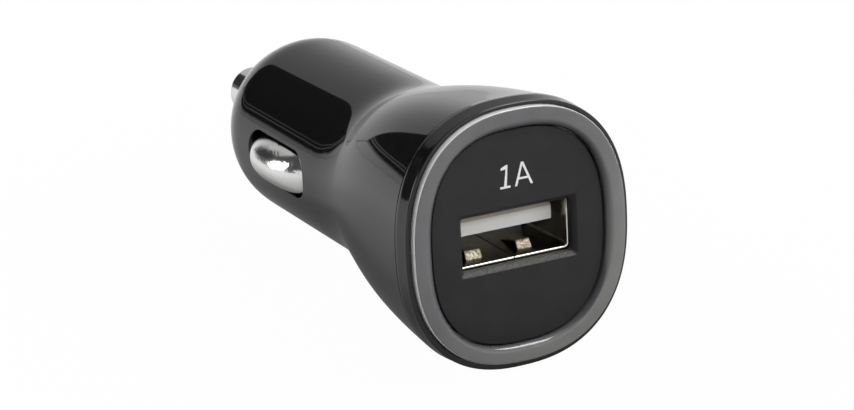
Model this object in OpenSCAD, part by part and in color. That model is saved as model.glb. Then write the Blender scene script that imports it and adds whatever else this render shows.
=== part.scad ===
// USB charger plug for a car's 12 volt socket.
// The plug's axis is Y. The origin is on that axis at the shoulder, where the round
// barrel leaves the head: the barrel and the sprung pin point to +Y, the face with
// the USB socket looks to -Y, and +Z is up on the face.

/* [Barrel] */
// Diameter of the part that goes into the car's socket
barrel_d = 20.7; // [19:0.1:22]
// Length of the straight barrel, from the shoulder to the nose
barrel_len = 27; // [25:0.5:34]
// Stretch of the barrel by the shoulder that keeps the full diameter
seat_len = 8.3; // [6:0.1:9]
// How far the barrel narrows on each side from there to the nose
barrel_draft = 0.05; // [0:0.01:0.1]
// Length of the domed nose
nose_len = 12.6; // [11:0.1:15]
// Wall of the moulded body
body_wall = 1.6; // [1.2:0.1:1.9]

/* [Head] */
// Width of the head where it meets the rim band
head_w = 26.05; // [24.5:0.05:30]
// Height of the head where it meets the rim band
head_h = 28.6; // [27:0.1:33]
// Distance from the shoulder to the front of the rim
head_len = 22; // [20:0.5:28]
// Depth of the rim band in front of the crease
band_len = 2.2; // [2:0.1:3]
// How far the band narrows towards the front, on each side
band_draft = 0.14; // [0:0.02:0.3]
// Depth that the rim's skirt reaches into the body
skirt_len = 3; // [2:0.1:4]

// Width of the rim's front edge at the sides
rim_side = 0.775; // [0.6:0.025:1]
// Width of the rim's front edge at the top and bottom
rim_top = 0.6; // [0.5:0.025:1]

/* [Light ring] */
// Width of the ring, from its outer edge to the plate
ring_band = 2.3; // [2:0.1:3]
// How far the ring stands in front of the rim
ring_proud = 0.7; // [0.3:0.1:1.5]
// Depth of the ring's seat in the rim
ring_seat = 1.6; // [1.5:0.05:1.8]

/* [Face plate] */
// Thickness of the plate
plate_t = 1.1; // [0.9:0.05:1.2]
// Bevel round the USB opening
bevel = 0.45; // [0.2:0.05:0.8]

/* [USB socket] */
// Outside width of the metal shell
shell_w = 13.1; // [12.9:0.1:13.4]
// Outside height of the metal shell
shell_h = 5.7; // [5.6:0.1:6]
// Thickness of the shell's sheet
shell_t = 0.3; // [0.2:0.05:0.35]
// Length of the shell
shell_len = 14; // [12:0.5:16]
// Width of the white tongue
tongue_w = 11.1; // [10.8:0.1:11.4]
// Thickness of the tongue
tongue_t = 1.84; // [1.6:0.02:2]
// Gap between the tongue and the shell above it
tongue_gap = 0.7; // [0.6:0.05:0.9]
// How far the tongue's tip lies behind the shell's mouth
tongue_setback = 2; // [0.5:0.1:3]
// Pitch of the middle two contacts
contact_pitch = 2; // [1.8:0.1:2.2]
// Offset of the outer two contacts from the middle
contact_outer = 3.5; // [3.4:0.1:3.7]

/* [Centre pin] */
// Diameter of the centre pin
pin_d = 5.8; // [5:0.1:6.4]
// How far the pin stands out past the end of the nose
pin_proud = 5.8; // [4:0.1:8]
// Travel of the pin when it is pushed in
pin_travel = 2.5; // [1.5:0.1:3]
// Wire of the coil spring behind the pin
spring_wire = 0.5; // [0.4:0.05:0.6]
// Turns of the coil spring
spring_turns = 6; // [4:1:7]

/* [Ground clips] */
// Length of each window in the barrel
window_len = 14.4; // [13.8:0.1:15]
// Height of each window
window_h = 5.6; // [5.4:0.1:6.6]
// Distance from the shoulder to the middle of the windows
window_y = 15.6; // [15:0.1:18]
// How far a clip's bump stands out from the barrel
bump_proud = 1.9; // [1.2:0.05:2.1]
// Width of a clip's bump
bump_w = 5.2; // [4.4:0.1:5.4]
// Length of a clip's bump at its foot
bump_len = 13.6; // [12:0.1:13.8]
// Sheet thickness of the clips
clip_t = 0.35; // [0.25:0.05:0.45]

/* [Circuit board] */
// Thickness of the board
board_t = 1.2; // [0.8:0.1:1.4]
// Width of the board in the barrel
board_w = 15.1; // [13:0.1:15.2]
// Gap on each side between the board and the rim's skirt
board_gap = 1.25; // [0.5:0.05:2]
// Gap between the board's end and the spring's contact cup
cup_gap = 3.9; // [2.5:0.1:5]

/* [Hidden] */

$fn = 72;
// Overrun that lets a cut pass its faces
over = 0.5;
// Points round the head's outlines
round_pts = 72;
// Play between parts that slide into each other
play = 0.08;

// Places along the axis
rim_y = -head_len;
crease_y = rim_y + band_len;
nose_y = barrel_len + nose_len;
barrel_r = barrel_d/2;
bore_r = barrel_r - body_wall;
// Radius where the barrel meets the nose
nose_r = barrel_r - barrel_draft;

// Outsides of the ring and of the plate inside it
ring_w = head_w - 2*rim_side;
ring_h = head_h - 2*rim_top;
plate_w = ring_w - 2*ring_band;
plate_h = ring_h - 2*ring_band;

// Squareness of the head's outlines, 2 being an ellipse
head_square_share = 2.4;
plate_square_share = 2.6;

// Power of a number that keeps its sign
function signed_pow(v, e) = sign(v)*pow(abs(v), e);
// A closed squarish outline in the plane at y, with half-width a and half-height b
function outline(a, b, n, y) = [for (i = [0:round_pts - 1])
    let (t = 360*i/round_pts) [a*signed_pow(cos(t), 2/n), y, b*signed_pow(sin(t), 2/n)]];
// Faces between ring i and the next one, for rings of m points
function band_faces(i, j, m) = [for (k = [0:m - 1])
    each [[i*m + k, j*m + k, j*m + (k + 1)%m], [i*m + k, j*m + (k + 1)%m, i*m + (k + 1)%m]]];

// A solid through outlines in order, with both ends closed
module loft(rings) {
    m = len(rings[0]);
    n = len(rings);
    polyhedron(
        points = [for (r = rings) each r],
        faces = [
            each [for (i = [0:n - 2]) each band_faces(i, i + 1, m)],
            [for (k = [0:m - 1]) k],
            [for (k = [m - 1:-1:0]) (n - 1)*m + k]
        ]);
}
// A hoop through outlines in order, where the last one meets the first
module hoop(rings) {
    m = len(rings[0]);
    n = len(rings);
    polyhedron(
        points = [for (r = rings) each r],
        faces = [for (i = [0:n - 1]) each band_faces(i, (i + 1)%n, m)]);
}
// Turns what stands along Z so that it lies along the plug's axis
module along_axis(y = 0) {
    translate([0, y, 0]) rotate([-90, 0, 0]) children();
}
// A box from one corner to the other
module box(low, high) {
    translate(low) cube(high - low);
}
// A rectangle in the XZ plane with round corners, from y to y + depth
module slot_bar(w, h, r, y, depth) {
    translate([0, y + depth, 0]) rotate([90, 0, 0]) linear_extrude(depth) {
        square([w - 2*r, h], center = true);
        square([w, h - 2*r], center = true);
        for (sx = [-1, 1], sz = [-1, 1])
            translate([sx*(w/2 - r), sz*(h/2 - r)]) circle(r, $fn = 24);
    }
}

// Body

// The flare falls from the head to the barrel along a cubic with these end slopes
flare_front_share = -1.0;
flare_back_share = -1.7;
flare_steps = 10;
flare_len = -crease_y;
// Lip by which the flare stands over the barrel at the shoulder
shoulder_lip = 0.05;
// The flare's wall is a little thinner, so that it laps the barrel's wall inside and out
flare_wall = body_wall - 2*shoulder_lip;
// Part of the full size that is left at share t of the way to the shoulder
function flare_share(t) =
    (2*pow(t, 3) - 3*pow(t, 2) + 1)
    + flare_front_share*(pow(t, 3) - 2*pow(t, 2) + t)
    + flare_back_share*(pow(t, 3) - pow(t, 2));
// Squareness half-way down the flare; it is the head's at the front and 2 at the barrel
flare_mid_square_share = 2.57;
function flare_square_share(t) =
    head_square_share*(1 - t)*(1 - 2*t) + flare_mid_square_share*4*t*(1 - t) + 2*t*(2*t - 1);
// Outline of the flare at share t, inset by the wall
function flare_ring(t, inset) = outline(
    barrel_r + shoulder_lip + (head_w/2 - barrel_r - shoulder_lip)*flare_share(t) - inset,
    barrel_r + shoulder_lip + (head_h/2 - barrel_r - shoulder_lip)*flare_share(t) - inset,
    flare_square_share(t),
    crease_y + flare_len*t);

// Roundness of the nose in profile, 2 being half an ellipse
nose_round_share = 1.48;
nose_steps = 14;
// Thickness of the nose from its tip back to the wall that stops the pin's flange
nose_end_wall = 3.6;
nose_wall_y = nose_y - nose_end_wall;
function nose_profile(r, len, y) = [for (i = [0:nose_steps])
    let (t = 90*i/nose_steps)
    [r*pow(cos(t), 2/nose_round_share), y + len*pow(sin(t), 2/nose_round_share)]];

pin_r = pin_d/2;
pin_hole_r = pin_r + 2*play;
// The pin is a little thicker inside the nose, where it slides
pin_guide_r = pin_r + play/2;
// Where the hole opens in the nose
nose_rim_y = barrel_len
    + nose_len*pow(1 - pow(pin_hole_r/nose_r, nose_round_share), 1/nose_round_share);
pin_end_y = nose_y + pin_proud;
pin_flange_r = pin_r + body_wall/2;
pin_flange_t = 1.2;
// The spring stands between the contact cup and the pin's flange, with room for the
// pin's travel and for twice the length of the spring pressed solid
spring_front = nose_wall_y - pin_flange_t;
spring_back = spring_front - pin_travel - 2*spring_turns*spring_wire;

// The windows end in nearly full rounds
window_round_share = 0.48;
window_corner = window_round_share*window_h;
// Start of the exact tube inside the wall of the flare
tube_start = -1.4;

module body_shell() color([0.04, 0.04, 0.045]) difference() {
    union() {
        hoop([
            each [for (i = [flare_steps:-1:0]) flare_ring(i/flare_steps, 0)],
            each [for (i = [0:flare_steps]) flare_ring(i/flare_steps, flare_wall)]
        ]);
        along_axis() rotate_extrude() difference() {
            polygon([
                [0, tube_start],
                [barrel_r, tube_start],
                [barrel_r, seat_len],
                each nose_profile(nose_r, nose_len, barrel_len)
            ]);
            // The bore follows the nose and ends flat where the pin's flange rests
            intersection() {
                polygon([
                    [-over, tube_start - over],
                    [bore_r, tube_start - over],
                    each nose_profile(bore_r, nose_len, barrel_len - body_wall/2),
                    [-over, nose_y]
                ]);
                translate([-over, tube_start - 2*over])
                    square([barrel_r + over, nose_wall_y - tube_start + 2*over]);
            }
        }
    }
    along_axis(nose_wall_y - over) cylinder(r = pin_hole_r, h = nose_end_wall + 2*over);
    // Windows for the ground clips, on the left and on the right
    for (side = [-1, 1])
        rotate([0, 0, -side*90]) translate([-side*window_y, 0, 0])
            slot_bar(window_len, window_h, window_corner, barrel_r/2, barrel_r/2 + over);
}

// Front

rim_w = head_w - 2*band_draft;
rim_h = head_h - 2*band_draft;
ring_pocket_w = ring_w + 2*play;
ring_pocket_h = ring_h + 2*play;
skirt_wall = 1;
// The skirt follows the inside of the flare, this far in from the outside
skirt_inset = flare_wall + play;
// Shares of the flare's length at which the skirt has an outline
skirt_shares = [0, min(1/flare_steps, skirt_len/flare_len/2), skirt_len/flare_len];
// Small round on the rim's front edge
rim_round = 0.15;
// A fine parting line is left between the band and the body
band_back = crease_y - play/2;

module front_bezel() color([0.05, 0.05, 0.05]) {
    n = head_square_share;
    hoop([
        outline(ring_pocket_w/2, ring_pocket_h/2, n, rim_y),
        outline(ring_pocket_w/2, ring_pocket_h/2, n, rim_y + ring_seat + play/2),
        outline(head_w/2 - skirt_inset - skirt_wall, head_h/2 - skirt_inset - skirt_wall, n,
            rim_y + ring_seat + play/2),
        each [for (i = [0:2]) flare_ring(skirt_shares[i], skirt_inset + skirt_wall)],
        each [for (i = [2:-1:1]) flare_ring(skirt_shares[i], skirt_inset)],
        outline(head_w/2 - skirt_inset, head_h/2 - skirt_inset, n, band_back),
        outline(head_w/2, head_h/2, n, band_back),
        outline(rim_w/2, rim_h/2, n, rim_y + rim_round),
        outline(rim_w/2 - rim_round, rim_h/2 - rim_round, n, rim_y)
    ]);
}

ring_front = rim_y - ring_proud;
ring_back = rim_y + ring_seat;
ring_inner_w = plate_w + 4*play;
ring_inner_h = plate_h + 4*play;
// Width of the flange that carries the plate from behind
ring_flange = 1.1;
ring_edge_round = 0.25;
// Width of the ring's flat front
ring_flat = 0.95;

module light_ring() color([0.55, 0.55, 0.56, 0.8]) {
    a = ring_w/2;
    b = ring_h/2;
    ai = ring_inner_w/2;
    bi = ring_inner_h/2;
    fa = a - ring_edge_round - ring_flat;
    fb = b - ring_edge_round - ring_flat;
    slope_steps = 4;
    n = head_square_share;
    m = plate_square_share;
    hoop([
        outline(a, b, n, ring_back),
        outline(a, b, n, ring_front + ring_edge_round),
        outline(a - ring_edge_round/3, b - ring_edge_round/3, n, ring_front + ring_edge_round/3),
        outline(a - ring_edge_round, b - ring_edge_round, n, ring_front),
        // Rounded slope from the flat front down to the plate's edge
        each [for (i = [0:slope_steps])
            let (t = 90*i/slope_steps, c = sin(t), s = 1 - cos(t))
            outline(fa + (ai - fa)*c, fb + (bi - fb)*c, n + (m - n)*c, ring_front + ring_proud*s)],
        outline(ai, bi, m, rim_y + plate_t),
        outline(ai - ring_flange, bi - ring_flange, m, rim_y + plate_t),
        outline(ai - ring_flange, bi - ring_flange, m, ring_back)
    ]);
}

// Sizes of the opening for the socket
mouth_w = shell_w - 4*shell_t + 2*play;
mouth_h = shell_h + play;
mouth_corner = 0.3;
plate_edge_round = 0.12;
// Depth of the straight part of the opening
mouth_depth = plate_t - bevel;

module face_plate() color([0.16, 0.16, 0.165]) difference() {
    loft([
        outline(plate_w/2, plate_h/2, plate_square_share, rim_y + plate_t - play/4),
        outline(plate_w/2, plate_h/2, plate_square_share, rim_y + plate_edge_round),
        outline(plate_w/2 - plate_edge_round, plate_h/2 - plate_edge_round, plate_square_share, rim_y)
    ]);
    slot_bar(mouth_w, mouth_h, mouth_corner, rim_y - over, plate_t + 2*over);
    // The bevel is a frustum that is wider at the front
    let (w = mouth_w/2, h = mouth_h/2, f = rim_y - over, d = bevel + over)
    polyhedron(
        points = [
            [-w - d, f, -h - d], [w + d, f, -h - d], [w + d, f, h + d], [-w - d, f, h + d],
            [-w, f + d, -h], [w, f + d, -h], [w, f + d, h], [-w, f + d, h]
        ],
        faces = [
            [0, 3, 2, 1], [4, 5, 6, 7], [0, 1, 5, 4], [1, 2, 6, 5], [2, 3, 7, 6], [3, 0, 4, 7]
        ]);
}

// USB socket

shell_front = rim_y + plate_t + play;
shell_back = shell_front + shell_len;
shell_in_w = shell_w - 2*shell_t;
shell_in_h = shell_h - 2*shell_t;
shell_corner = 0.5;
seam_w = 0.15;
// Spring fingers in the shell's floor and roof
finger_w = 2;
finger_len = 5;
finger_x = 2.9;
finger_start = 3.2;
finger_slit = 0.35;
finger_dip = 0.32;

module shell_finger(side) {
    // A strip cut free on three sides, and sprung into the socket
    y0 = shell_front + finger_start;
    z0 = side*(shell_h/2);
    zi = side*(shell_h/2 - shell_t);
    for (x = [-finger_x, finger_x])
        polyhedron(
            points = [
                [x - finger_w/2, y0, z0 - side*finger_dip], [x + finger_w/2, y0, z0 - side*finger_dip],
                [x + finger_w/2, y0, zi - side*finger_dip], [x - finger_w/2, y0, zi - side*finger_dip],
                [x - finger_w/2, y0 + finger_len, z0], [x + finger_w/2, y0 + finger_len, z0],
                [x + finger_w/2, y0 + finger_len, zi], [x - finger_w/2, y0 + finger_len, zi]
            ],
            faces = side > 0
                ? [[0, 1, 2, 3], [7, 6, 5, 4], [1, 0, 4, 5], [2, 1, 5, 6], [3, 2, 6, 7], [0, 3, 7, 4]]
                : [[3, 2, 1, 0], [4, 5, 6, 7], [5, 4, 0, 1], [6, 5, 1, 2], [7, 6, 2, 3], [4, 7, 3, 0]]);
}
module usb_shell() color([0.75, 0.75, 0.74]) {
    difference() {
        slot_bar(shell_w, shell_h, shell_corner, shell_front, shell_len);
        slot_bar(shell_in_w, shell_in_h, shell_corner - shell_t/2, shell_front - over, shell_len + 2*over);
        // Seam of the folded sheet along the floor
        box([-seam_w/2, shell_front - over, -shell_h/2 - over],
            [seam_w/2, shell_front + finger_start, -shell_in_h/2 + shell_t]);
        for (x = [-finger_x, finger_x], side = [-1, 1])
            translate([x, shell_front + finger_start - finger_slit, side*shell_h/2])
                box([-finger_w/2 - finger_slit, 0, -shell_t - over],
                    [finger_w/2 + finger_slit, finger_len + finger_slit, shell_t + over]);
    }
    shell_finger(1);
    shell_finger(-1);
}

tongue_top = shell_in_h/2 - tongue_gap;
tongue_low = tongue_top - tongue_t;
tongue_front = shell_front + tongue_setback;
// The tongue grows out of a block that closes the back of the shell
block_len = 4.2;
block_start = shell_back - block_len;
contact_w = 1;
contact_t = 0.25;
contact_x = [-contact_outer, -contact_pitch/2, contact_pitch/2, contact_outer];
groove_play = 0.05;
tip_bevel = 0.4;

module usb_tongue() color([0.9, 0.9, 0.86]) difference() {
    union() {
        translate([-tongue_w/2, 0, 0]) rotate([90, 0, 90]) linear_extrude(tongue_w) polygon([
            [tongue_front + tip_bevel, tongue_top],
            [block_start + over, tongue_top],
            [block_start + over, tongue_low],
            [tongue_front, tongue_low],
            [tongue_front, tongue_top - tip_bevel]
        ]);
        box([-shell_in_w/2 + 2*play, block_start, -shell_in_h/2 + 2*play],
            [shell_in_w/2 - 2*play, shell_back, shell_in_h/2 - 2*play]);
    }
    // Grooves along the underside and through the block, one for each contact
    for (x = contact_x)
        box([x - contact_w/2 - groove_play, tongue_front + tip_bevel, tongue_low - over],
            [x + contact_w/2 + groove_play, block_start, tongue_low + contact_t]);
    for (x = contact_x)
        box([x - contact_w/2 - groove_play, block_start - over, tongue_low - groove_play],
            [x + contact_w/2 + groove_play, shell_back + over, tongue_low + contact_t + groove_play]);
}

board_top = -shell_h/2;
lead_drop = 1;
// The leads pass through the board and end a little below it
lead_end = board_top - board_t - lead_drop/2;
contact_dip = 0.35;

// A contact's spring strip under the tongue, and its lead down to the board
module usb_contact(i) color([0.85, 0.68, 0.3]) {
    x = contact_x[i];
    y0 = tongue_front + 2*tip_bevel;
    y1 = shell_back + lead_drop;
    z1 = tongue_low + contact_t;
    dip_y = y0 + shell_len/4;
    translate([x - contact_w/2, 0, 0]) rotate([90, 0, 90]) linear_extrude(contact_w) polygon([
        [y0, z1], [dip_y - shell_len/14, z1 - contact_t/2],
        [dip_y, z1 - contact_dip], [dip_y + shell_len/14, z1 - contact_t/2],
        [block_start, z1], [y1, z1], [y1, lead_end], [y1 - contact_t, lead_end],
        [y1 - contact_t, z1 - contact_t], [block_start - contact_t, z1 - contact_t],
        [dip_y + shell_len/14, z1 - 3*contact_t/2], [dip_y, z1 - contact_dip - contact_t],
        [dip_y - shell_len/14, z1 - 3*contact_t/2], [y0, z1 - contact_t/2]
    ]);
}
module usb_contact_1() { usb_contact(0); }
module usb_contact_2() { usb_contact(1); }
module usb_contact_3() { usb_contact(2); }
module usb_contact_4() { usb_contact(3); }

// Circuit board

// Width of the board in the head, inside the rim's skirt
board_head_w = head_w - 2*(skirt_inset + skirt_wall + board_gap);
// How far the board reaches past the shoulder into the barrel
board_reach = spring_back - cup_gap;
// The converter's parts share the board between the socket's leads and the spring's contact
tail_len = 2.4;
bay_start = shell_back + lead_drop;
bay_len = board_reach - tail_len - bay_start;
board_front = rim_y + ring_seat + band_len/4;
// Where the board narrows for the barrel
board_neck = -head_len/2;
board_neck_len = 2;
lead_hole_r = 0.62;

module circuit_board() color([0.08, 0.3, 0.16]) difference() {
    translate([0, 0, board_top - board_t]) linear_extrude(board_t) polygon([
        [-board_head_w/2, board_front], [board_head_w/2, board_front],
        [board_head_w/2, board_neck], [board_w/2, board_neck + board_neck_len],
        [board_w/2, board_reach], [-board_w/2, board_reach],
        [-board_w/2, board_neck + board_neck_len], [-board_head_w/2, board_neck]
    ]);
    // Holes for the leads of the USB socket
    for (x = contact_x)
        translate([x, shell_back + lead_drop - contact_t/2, board_top - board_t - over])
            cylinder(r = lead_hole_r, h = board_t + 2*over, $fn = 24);
}

// Places and sizes along the board as shares of the bay's length
chip_place_share = 0.14;
chip_len_share = 0.19;
coil_place_share = 0.37;
coil_r_share = 0.124;
input_can_place_share = 0.64;
input_can_d_share = 0.244;
output_can_place_share = 0.88;
output_can_d_share = 0.194;
resistor_pitch_share = 0.066;
ceramic_pitch_share = 0.081;

chip_y = bay_start + chip_place_share*bay_len;
chip_w = 3.9;
chip_len = chip_len_share*bay_len;
chip_h = 1.5;
chip_pitch = 1.27;
chip_lead_w = 0.4;
chip_lead_t = 0.2;
chip_lead_out = 1.05;
chip_gap = 0.1;

// Converter chip in an eight-lead package
module converter_chip() color([0.12, 0.12, 0.12]) {
    difference() {
        box([-chip_w/2, chip_y - chip_len/2, board_top + chip_gap],
            [chip_w/2, chip_y + chip_len/2, board_top + chip_h]);
        translate([-chip_w/2 + chip_lead_out, chip_y - chip_len/2 + chip_lead_out,
            board_top + chip_h - chip_gap])
            cylinder(r = chip_lead_w, h = over, $fn = 24);
    }
    for (side = [-1, 1], i = [0:3])
        translate([0, chip_y + (i - 3/2)*chip_pitch + chip_lead_w/2, 0]) rotate([90, 0, 0])
            linear_extrude(chip_lead_w) polygon([
                [side*(chip_w/2 - chip_gap), board_top + chip_h/2],
                [side*(chip_w/2 + chip_lead_out/2), board_top + chip_h/2],
                [side*(chip_w/2 + chip_lead_out/2), board_top + chip_lead_t],
                [side*(chip_w/2 + chip_lead_out), board_top + chip_lead_t],
                [side*(chip_w/2 + chip_lead_out), board_top],
                [side*(chip_w/2 + chip_lead_out/2 - chip_lead_t), board_top],
                [side*(chip_w/2 + chip_lead_out/2 - chip_lead_t), board_top + chip_h/2 - chip_lead_t],
                [side*(chip_w/2 - chip_gap), board_top + chip_h/2 - chip_lead_t]
            ]);
}

coil_y = bay_start + coil_place_share*bay_len;
coil_r = coil_r_share*bay_len;
coil_h = 4.2;
coil_flange = 0.8;
coil_neck_r = 1.5;
winding_gap = 0.1;
winding_wire = 0.45;

// Drum of ferrite that the converter's coil is wound on
module inductor_core() color([0.2, 0.2, 0.21])
    translate([0, coil_y, board_top]) rotate_extrude() polygon([
        [0, 0], [coil_r, 0], [coil_r, coil_flange], [coil_neck_r, coil_flange],
        [coil_neck_r, coil_h - coil_flange], [coil_r, coil_h - coil_flange],
        [coil_r, coil_h], [0, coil_h]
    ]);

// Copper wire wound in the drum's waist, with a ridge for each turn
winding_turns = floor((coil_h - 2*coil_flange - 2*winding_gap)/winding_wire);
module inductor_winding() color([0.72, 0.42, 0.2])
    translate([0, coil_y, board_top + coil_h/2 - winding_turns*winding_wire/2]) rotate_extrude() {
        translate([coil_neck_r + winding_gap, 0])
            square([coil_r - coil_neck_r - winding_wire - winding_gap, winding_turns*winding_wire]);
        for (i = [0:winding_turns - 1])
            translate([coil_r - winding_wire, (i + 1/2)*winding_wire])
                circle(winding_wire/2, $fn = 16);
    }

// An electrolytic capacitor that stands on the board
can_base = 0.5;
can_round = 0.4;
can_neck = 0.35;
module capacitor(r, h, y) {
    translate([0, y, board_top]) rotate_extrude() polygon([
        [0, 0], [r - can_round, 0], [r, can_base],
        [r, h/6], [r - can_neck, h/6 + can_neck], [r, h/6 + 2*can_neck],
        [r, h - can_round], [r - can_round, h], [0, h]
    ]);
}
input_can_d = input_can_d_share*bay_len;
input_can_h = 8.4;
output_can_d = output_can_d_share*bay_len;
output_can_h = 7;
input_can_y = bay_start + input_can_place_share*bay_len;
output_can_y = bay_start + output_can_place_share*bay_len;

module input_capacitor() color([0.1, 0.12, 0.3]) capacitor(input_can_d/2, input_can_h, input_can_y);
module output_capacitor() color([0.1, 0.12, 0.3]) capacitor(output_can_d/2, output_can_h, output_can_y);

// Small parts that lie on the board: a body with a metal cap at each end
module chip_part(l, w, h, cap) {
    box([-l/2 + cap, -w/2, 0], [l/2 - cap, w/2, h]);
    for (side = [-1, 1])
        box([min(side*l/2, side*(l/2 - cap)), -w/2 - cap/8, 0],
            [max(side*l/2, side*(l/2 - cap)), w/2 + cap/8, h + cap/8]);
}

diode_l = 4.3;
diode_w = 2.4;
diode_h = 2.1;
diode_x = -4.6;
// Place of the diode and the fuse as a share of the head's length
diode_place_share = 0.4;
diode_y = rim_y + diode_place_share*head_len;
diode_cap = 0.5;
// Rectifier diode of the converter, under the board
module rectifier_diode() color([0.15, 0.15, 0.15])
    translate([diode_x, diode_y, board_top - board_t])
        rotate([180, 0, 90]) chip_part(diode_l, diode_w, diode_h, diode_cap);

fuse_l = 6.1;
fuse_w = 2.7;
fuse_h = 2.6;
fuse_x = 4.6;
// Fuse in the supply line, under the board
module pico_fuse() color([0.85, 0.85, 0.8])
    translate([fuse_x, diode_y, board_top - board_t])
        rotate([180, 0, 90]) chip_part(fuse_l, fuse_w, fuse_h, diode_cap);

resistor_l = 1.6;
resistor_w = 0.8;
resistor_h = 0.45;
resistor_pitch = resistor_pitch_share*bay_len;
resistor_cap = 0.3;
resistor_count = 6;
// Row of chip resistors under the board
module chip_resistors() color([0.1, 0.1, 0.1])
    for (i = [0:resistor_count - 1])
        translate([-board_w/4, bay_start + (i + 3/4)*resistor_pitch, board_top - board_t])
            rotate([180, 0, 0]) chip_part(resistor_l, resistor_w, resistor_h, resistor_cap);

ceramic_l = 2;
ceramic_w = 1.25;
ceramic_h = 0.9;
ceramic_count = 5;
ceramic_pitch = ceramic_pitch_share*bay_len;
// Row of ceramic capacitors under the board
module chip_capacitors() color([0.75, 0.62, 0.45])
    for (i = [0:ceramic_count - 1])
        translate([board_w/4, bay_start + (i + 3/4)*ceramic_pitch, board_top - board_t])
            rotate([180, 0, 0]) chip_part(ceramic_l, ceramic_w, ceramic_h, resistor_cap);

// The lamps stand midway between the socket's shell and the board's edges
led_l = 3/8*(board_head_w - shell_w);
led_w = 1.25;
led_h = 1.1;
led_x = (board_head_w + shell_w)/4;
// Two lamps at the board's front corners light the ring from behind
module ring_leds() color([0.95, 0.95, 0.8])
    for (side = [-1, 1])
        translate([side*led_x, board_front + led_w, board_top])
            chip_part(led_l, led_w, led_h, resistor_cap);

// Centre pin, its spring and the contact behind it

pin_round = 0.5;
pin_round_steps = 6;
pin_boss_r = 1.6;
pin_boss_len = 1.6;
module centre_pin() color([0.85, 0.85, 0.84]) along_axis() rotate_extrude() polygon([
    [0, nose_wall_y - pin_flange_t - pin_boss_len],
    [pin_boss_r, nose_wall_y - pin_flange_t - pin_boss_len],
    [pin_boss_r, nose_wall_y - pin_flange_t],
    [pin_flange_r, nose_wall_y - pin_flange_t],
    [pin_flange_r, nose_wall_y - play],
    [pin_guide_r, nose_wall_y - play],
    [pin_guide_r, nose_rim_y + play],
    [pin_r, nose_rim_y + play],
    [pin_r, pin_end_y - pin_round],
    each [for (i = [1:pin_round_steps]) let (t = 90*i/pin_round_steps)
        [pin_r - pin_round*(1 - cos(t)), pin_end_y - pin_round*(1 - sin(t))]],
    [0, pin_end_y]
]);

spring_r = 2.5;
spring_sides = 8;
spring_step = 20;
// Coil of round wire, with its end turns lying almost flat
function spring_y(a) = spring_back + spring_wire/2 + play
    + (spring_front - spring_back - spring_wire - 2*play)*a/(360*spring_turns);
module pin_spring() color([0.7, 0.7, 0.68]) {
    steps = floor(360*spring_turns/spring_step);
    pitch_tilt = atan((spring_front - spring_back)/spring_turns/(2*PI*spring_r));
    loft([for (i = [0:steps]) let (a = i*spring_step)
        [for (k = [0:spring_sides - 1]) let (b = 360*k/spring_sides,
            ru = spring_r + spring_wire/2*cos(b), du = spring_wire/2*sin(b))
            [ru*cos(a) + du*sin(a)*sin(pitch_tilt), spring_y(a) + du*cos(pitch_tilt),
                ru*sin(a) - du*cos(a)*sin(pitch_tilt)]]]);
}

contact_sheet = 0.4;
cup_r = spring_r + spring_wire + 2*play;
cup_wall = 0.4;
cup_h = 1.2;
tail_w = 3;
// Stamped cup that the spring presses on, with a tail soldered to the board
module pin_contact() color([0.8, 0.68, 0.4]) {
    along_axis() rotate_extrude() polygon([
        [0, spring_back - contact_sheet], [cup_r + cup_wall, spring_back - contact_sheet],
        [cup_r + cup_wall, spring_back + cup_h], [cup_r, spring_back + cup_h],
        [cup_r, spring_back], [0, spring_back]
    ]);
    box([-tail_w/2, spring_back - 2*contact_sheet, board_top],
        [tail_w/2, spring_back - contact_sheet/2, cup_r]);
    box([-tail_w/2, board_reach - tail_len, board_top],
        [tail_w/2, spring_back - contact_sheet, board_top + contact_sheet]);
}

// Ground clips

bump_peak = barrel_r + bump_proud;
// Roundness of the bump in side view, across its width and in plan, 2 being an ellipse
bump_side_share = 2.2;
bump_cross_share = 3.4;
bump_plan_share = 2.2;
// Width of the leaf where it meets the bump
bump_end_w = 1.6;
// Face of the leaf inside the barrel
leaf_x = sqrt(pow(bore_r, 2) - pow(bump_w/2, 2)) - 2*play;
leaf_w = 3.6;
leaf_root = -1.5;
// Rolled edge that the leaf turns on when it is pressed in
roll_r = 0.5;
foot_len = 3;
foot_w = 1.6;
// Height that the foot laps the leaf
foot_grip = 0.9;
clip_steps = 24;
clip_across = 10;
tab_len = 1.3;
tab_bend = 0.5;

// Height of a unit arch at u, which runs from -1 to 1
function arch(u, n) = pow(max(0, 1 - pow(abs(u), n)), 1/n);
// Stations along the clip from its root to the end tab: place along the axis, height over
// the leaf's face, half-width, and inset of the inner face's sides
bump_depth = bump_peak - leaf_x;
clip_line = [
    [leaf_root - foot_len/2, 0, leaf_w/2, 0],
    [leaf_root + foot_len/2, 0, leaf_w/2, 0],
    [window_y - bump_len/2 - 2*tab_bend, 0, bump_end_w/2, 0],
    each [for (i = [0:clip_steps])
        let (u = -cos(180*i/clip_steps))
        [window_y + u*bump_len/2, bump_depth*arch(u, bump_side_share),
            (bump_end_w + (bump_w - bump_end_w)*arch(u, bump_plan_share))/2, clip_t]],
    [window_y + bump_len/2 + tab_len, 0, bump_end_w/2, 0]
];
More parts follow.
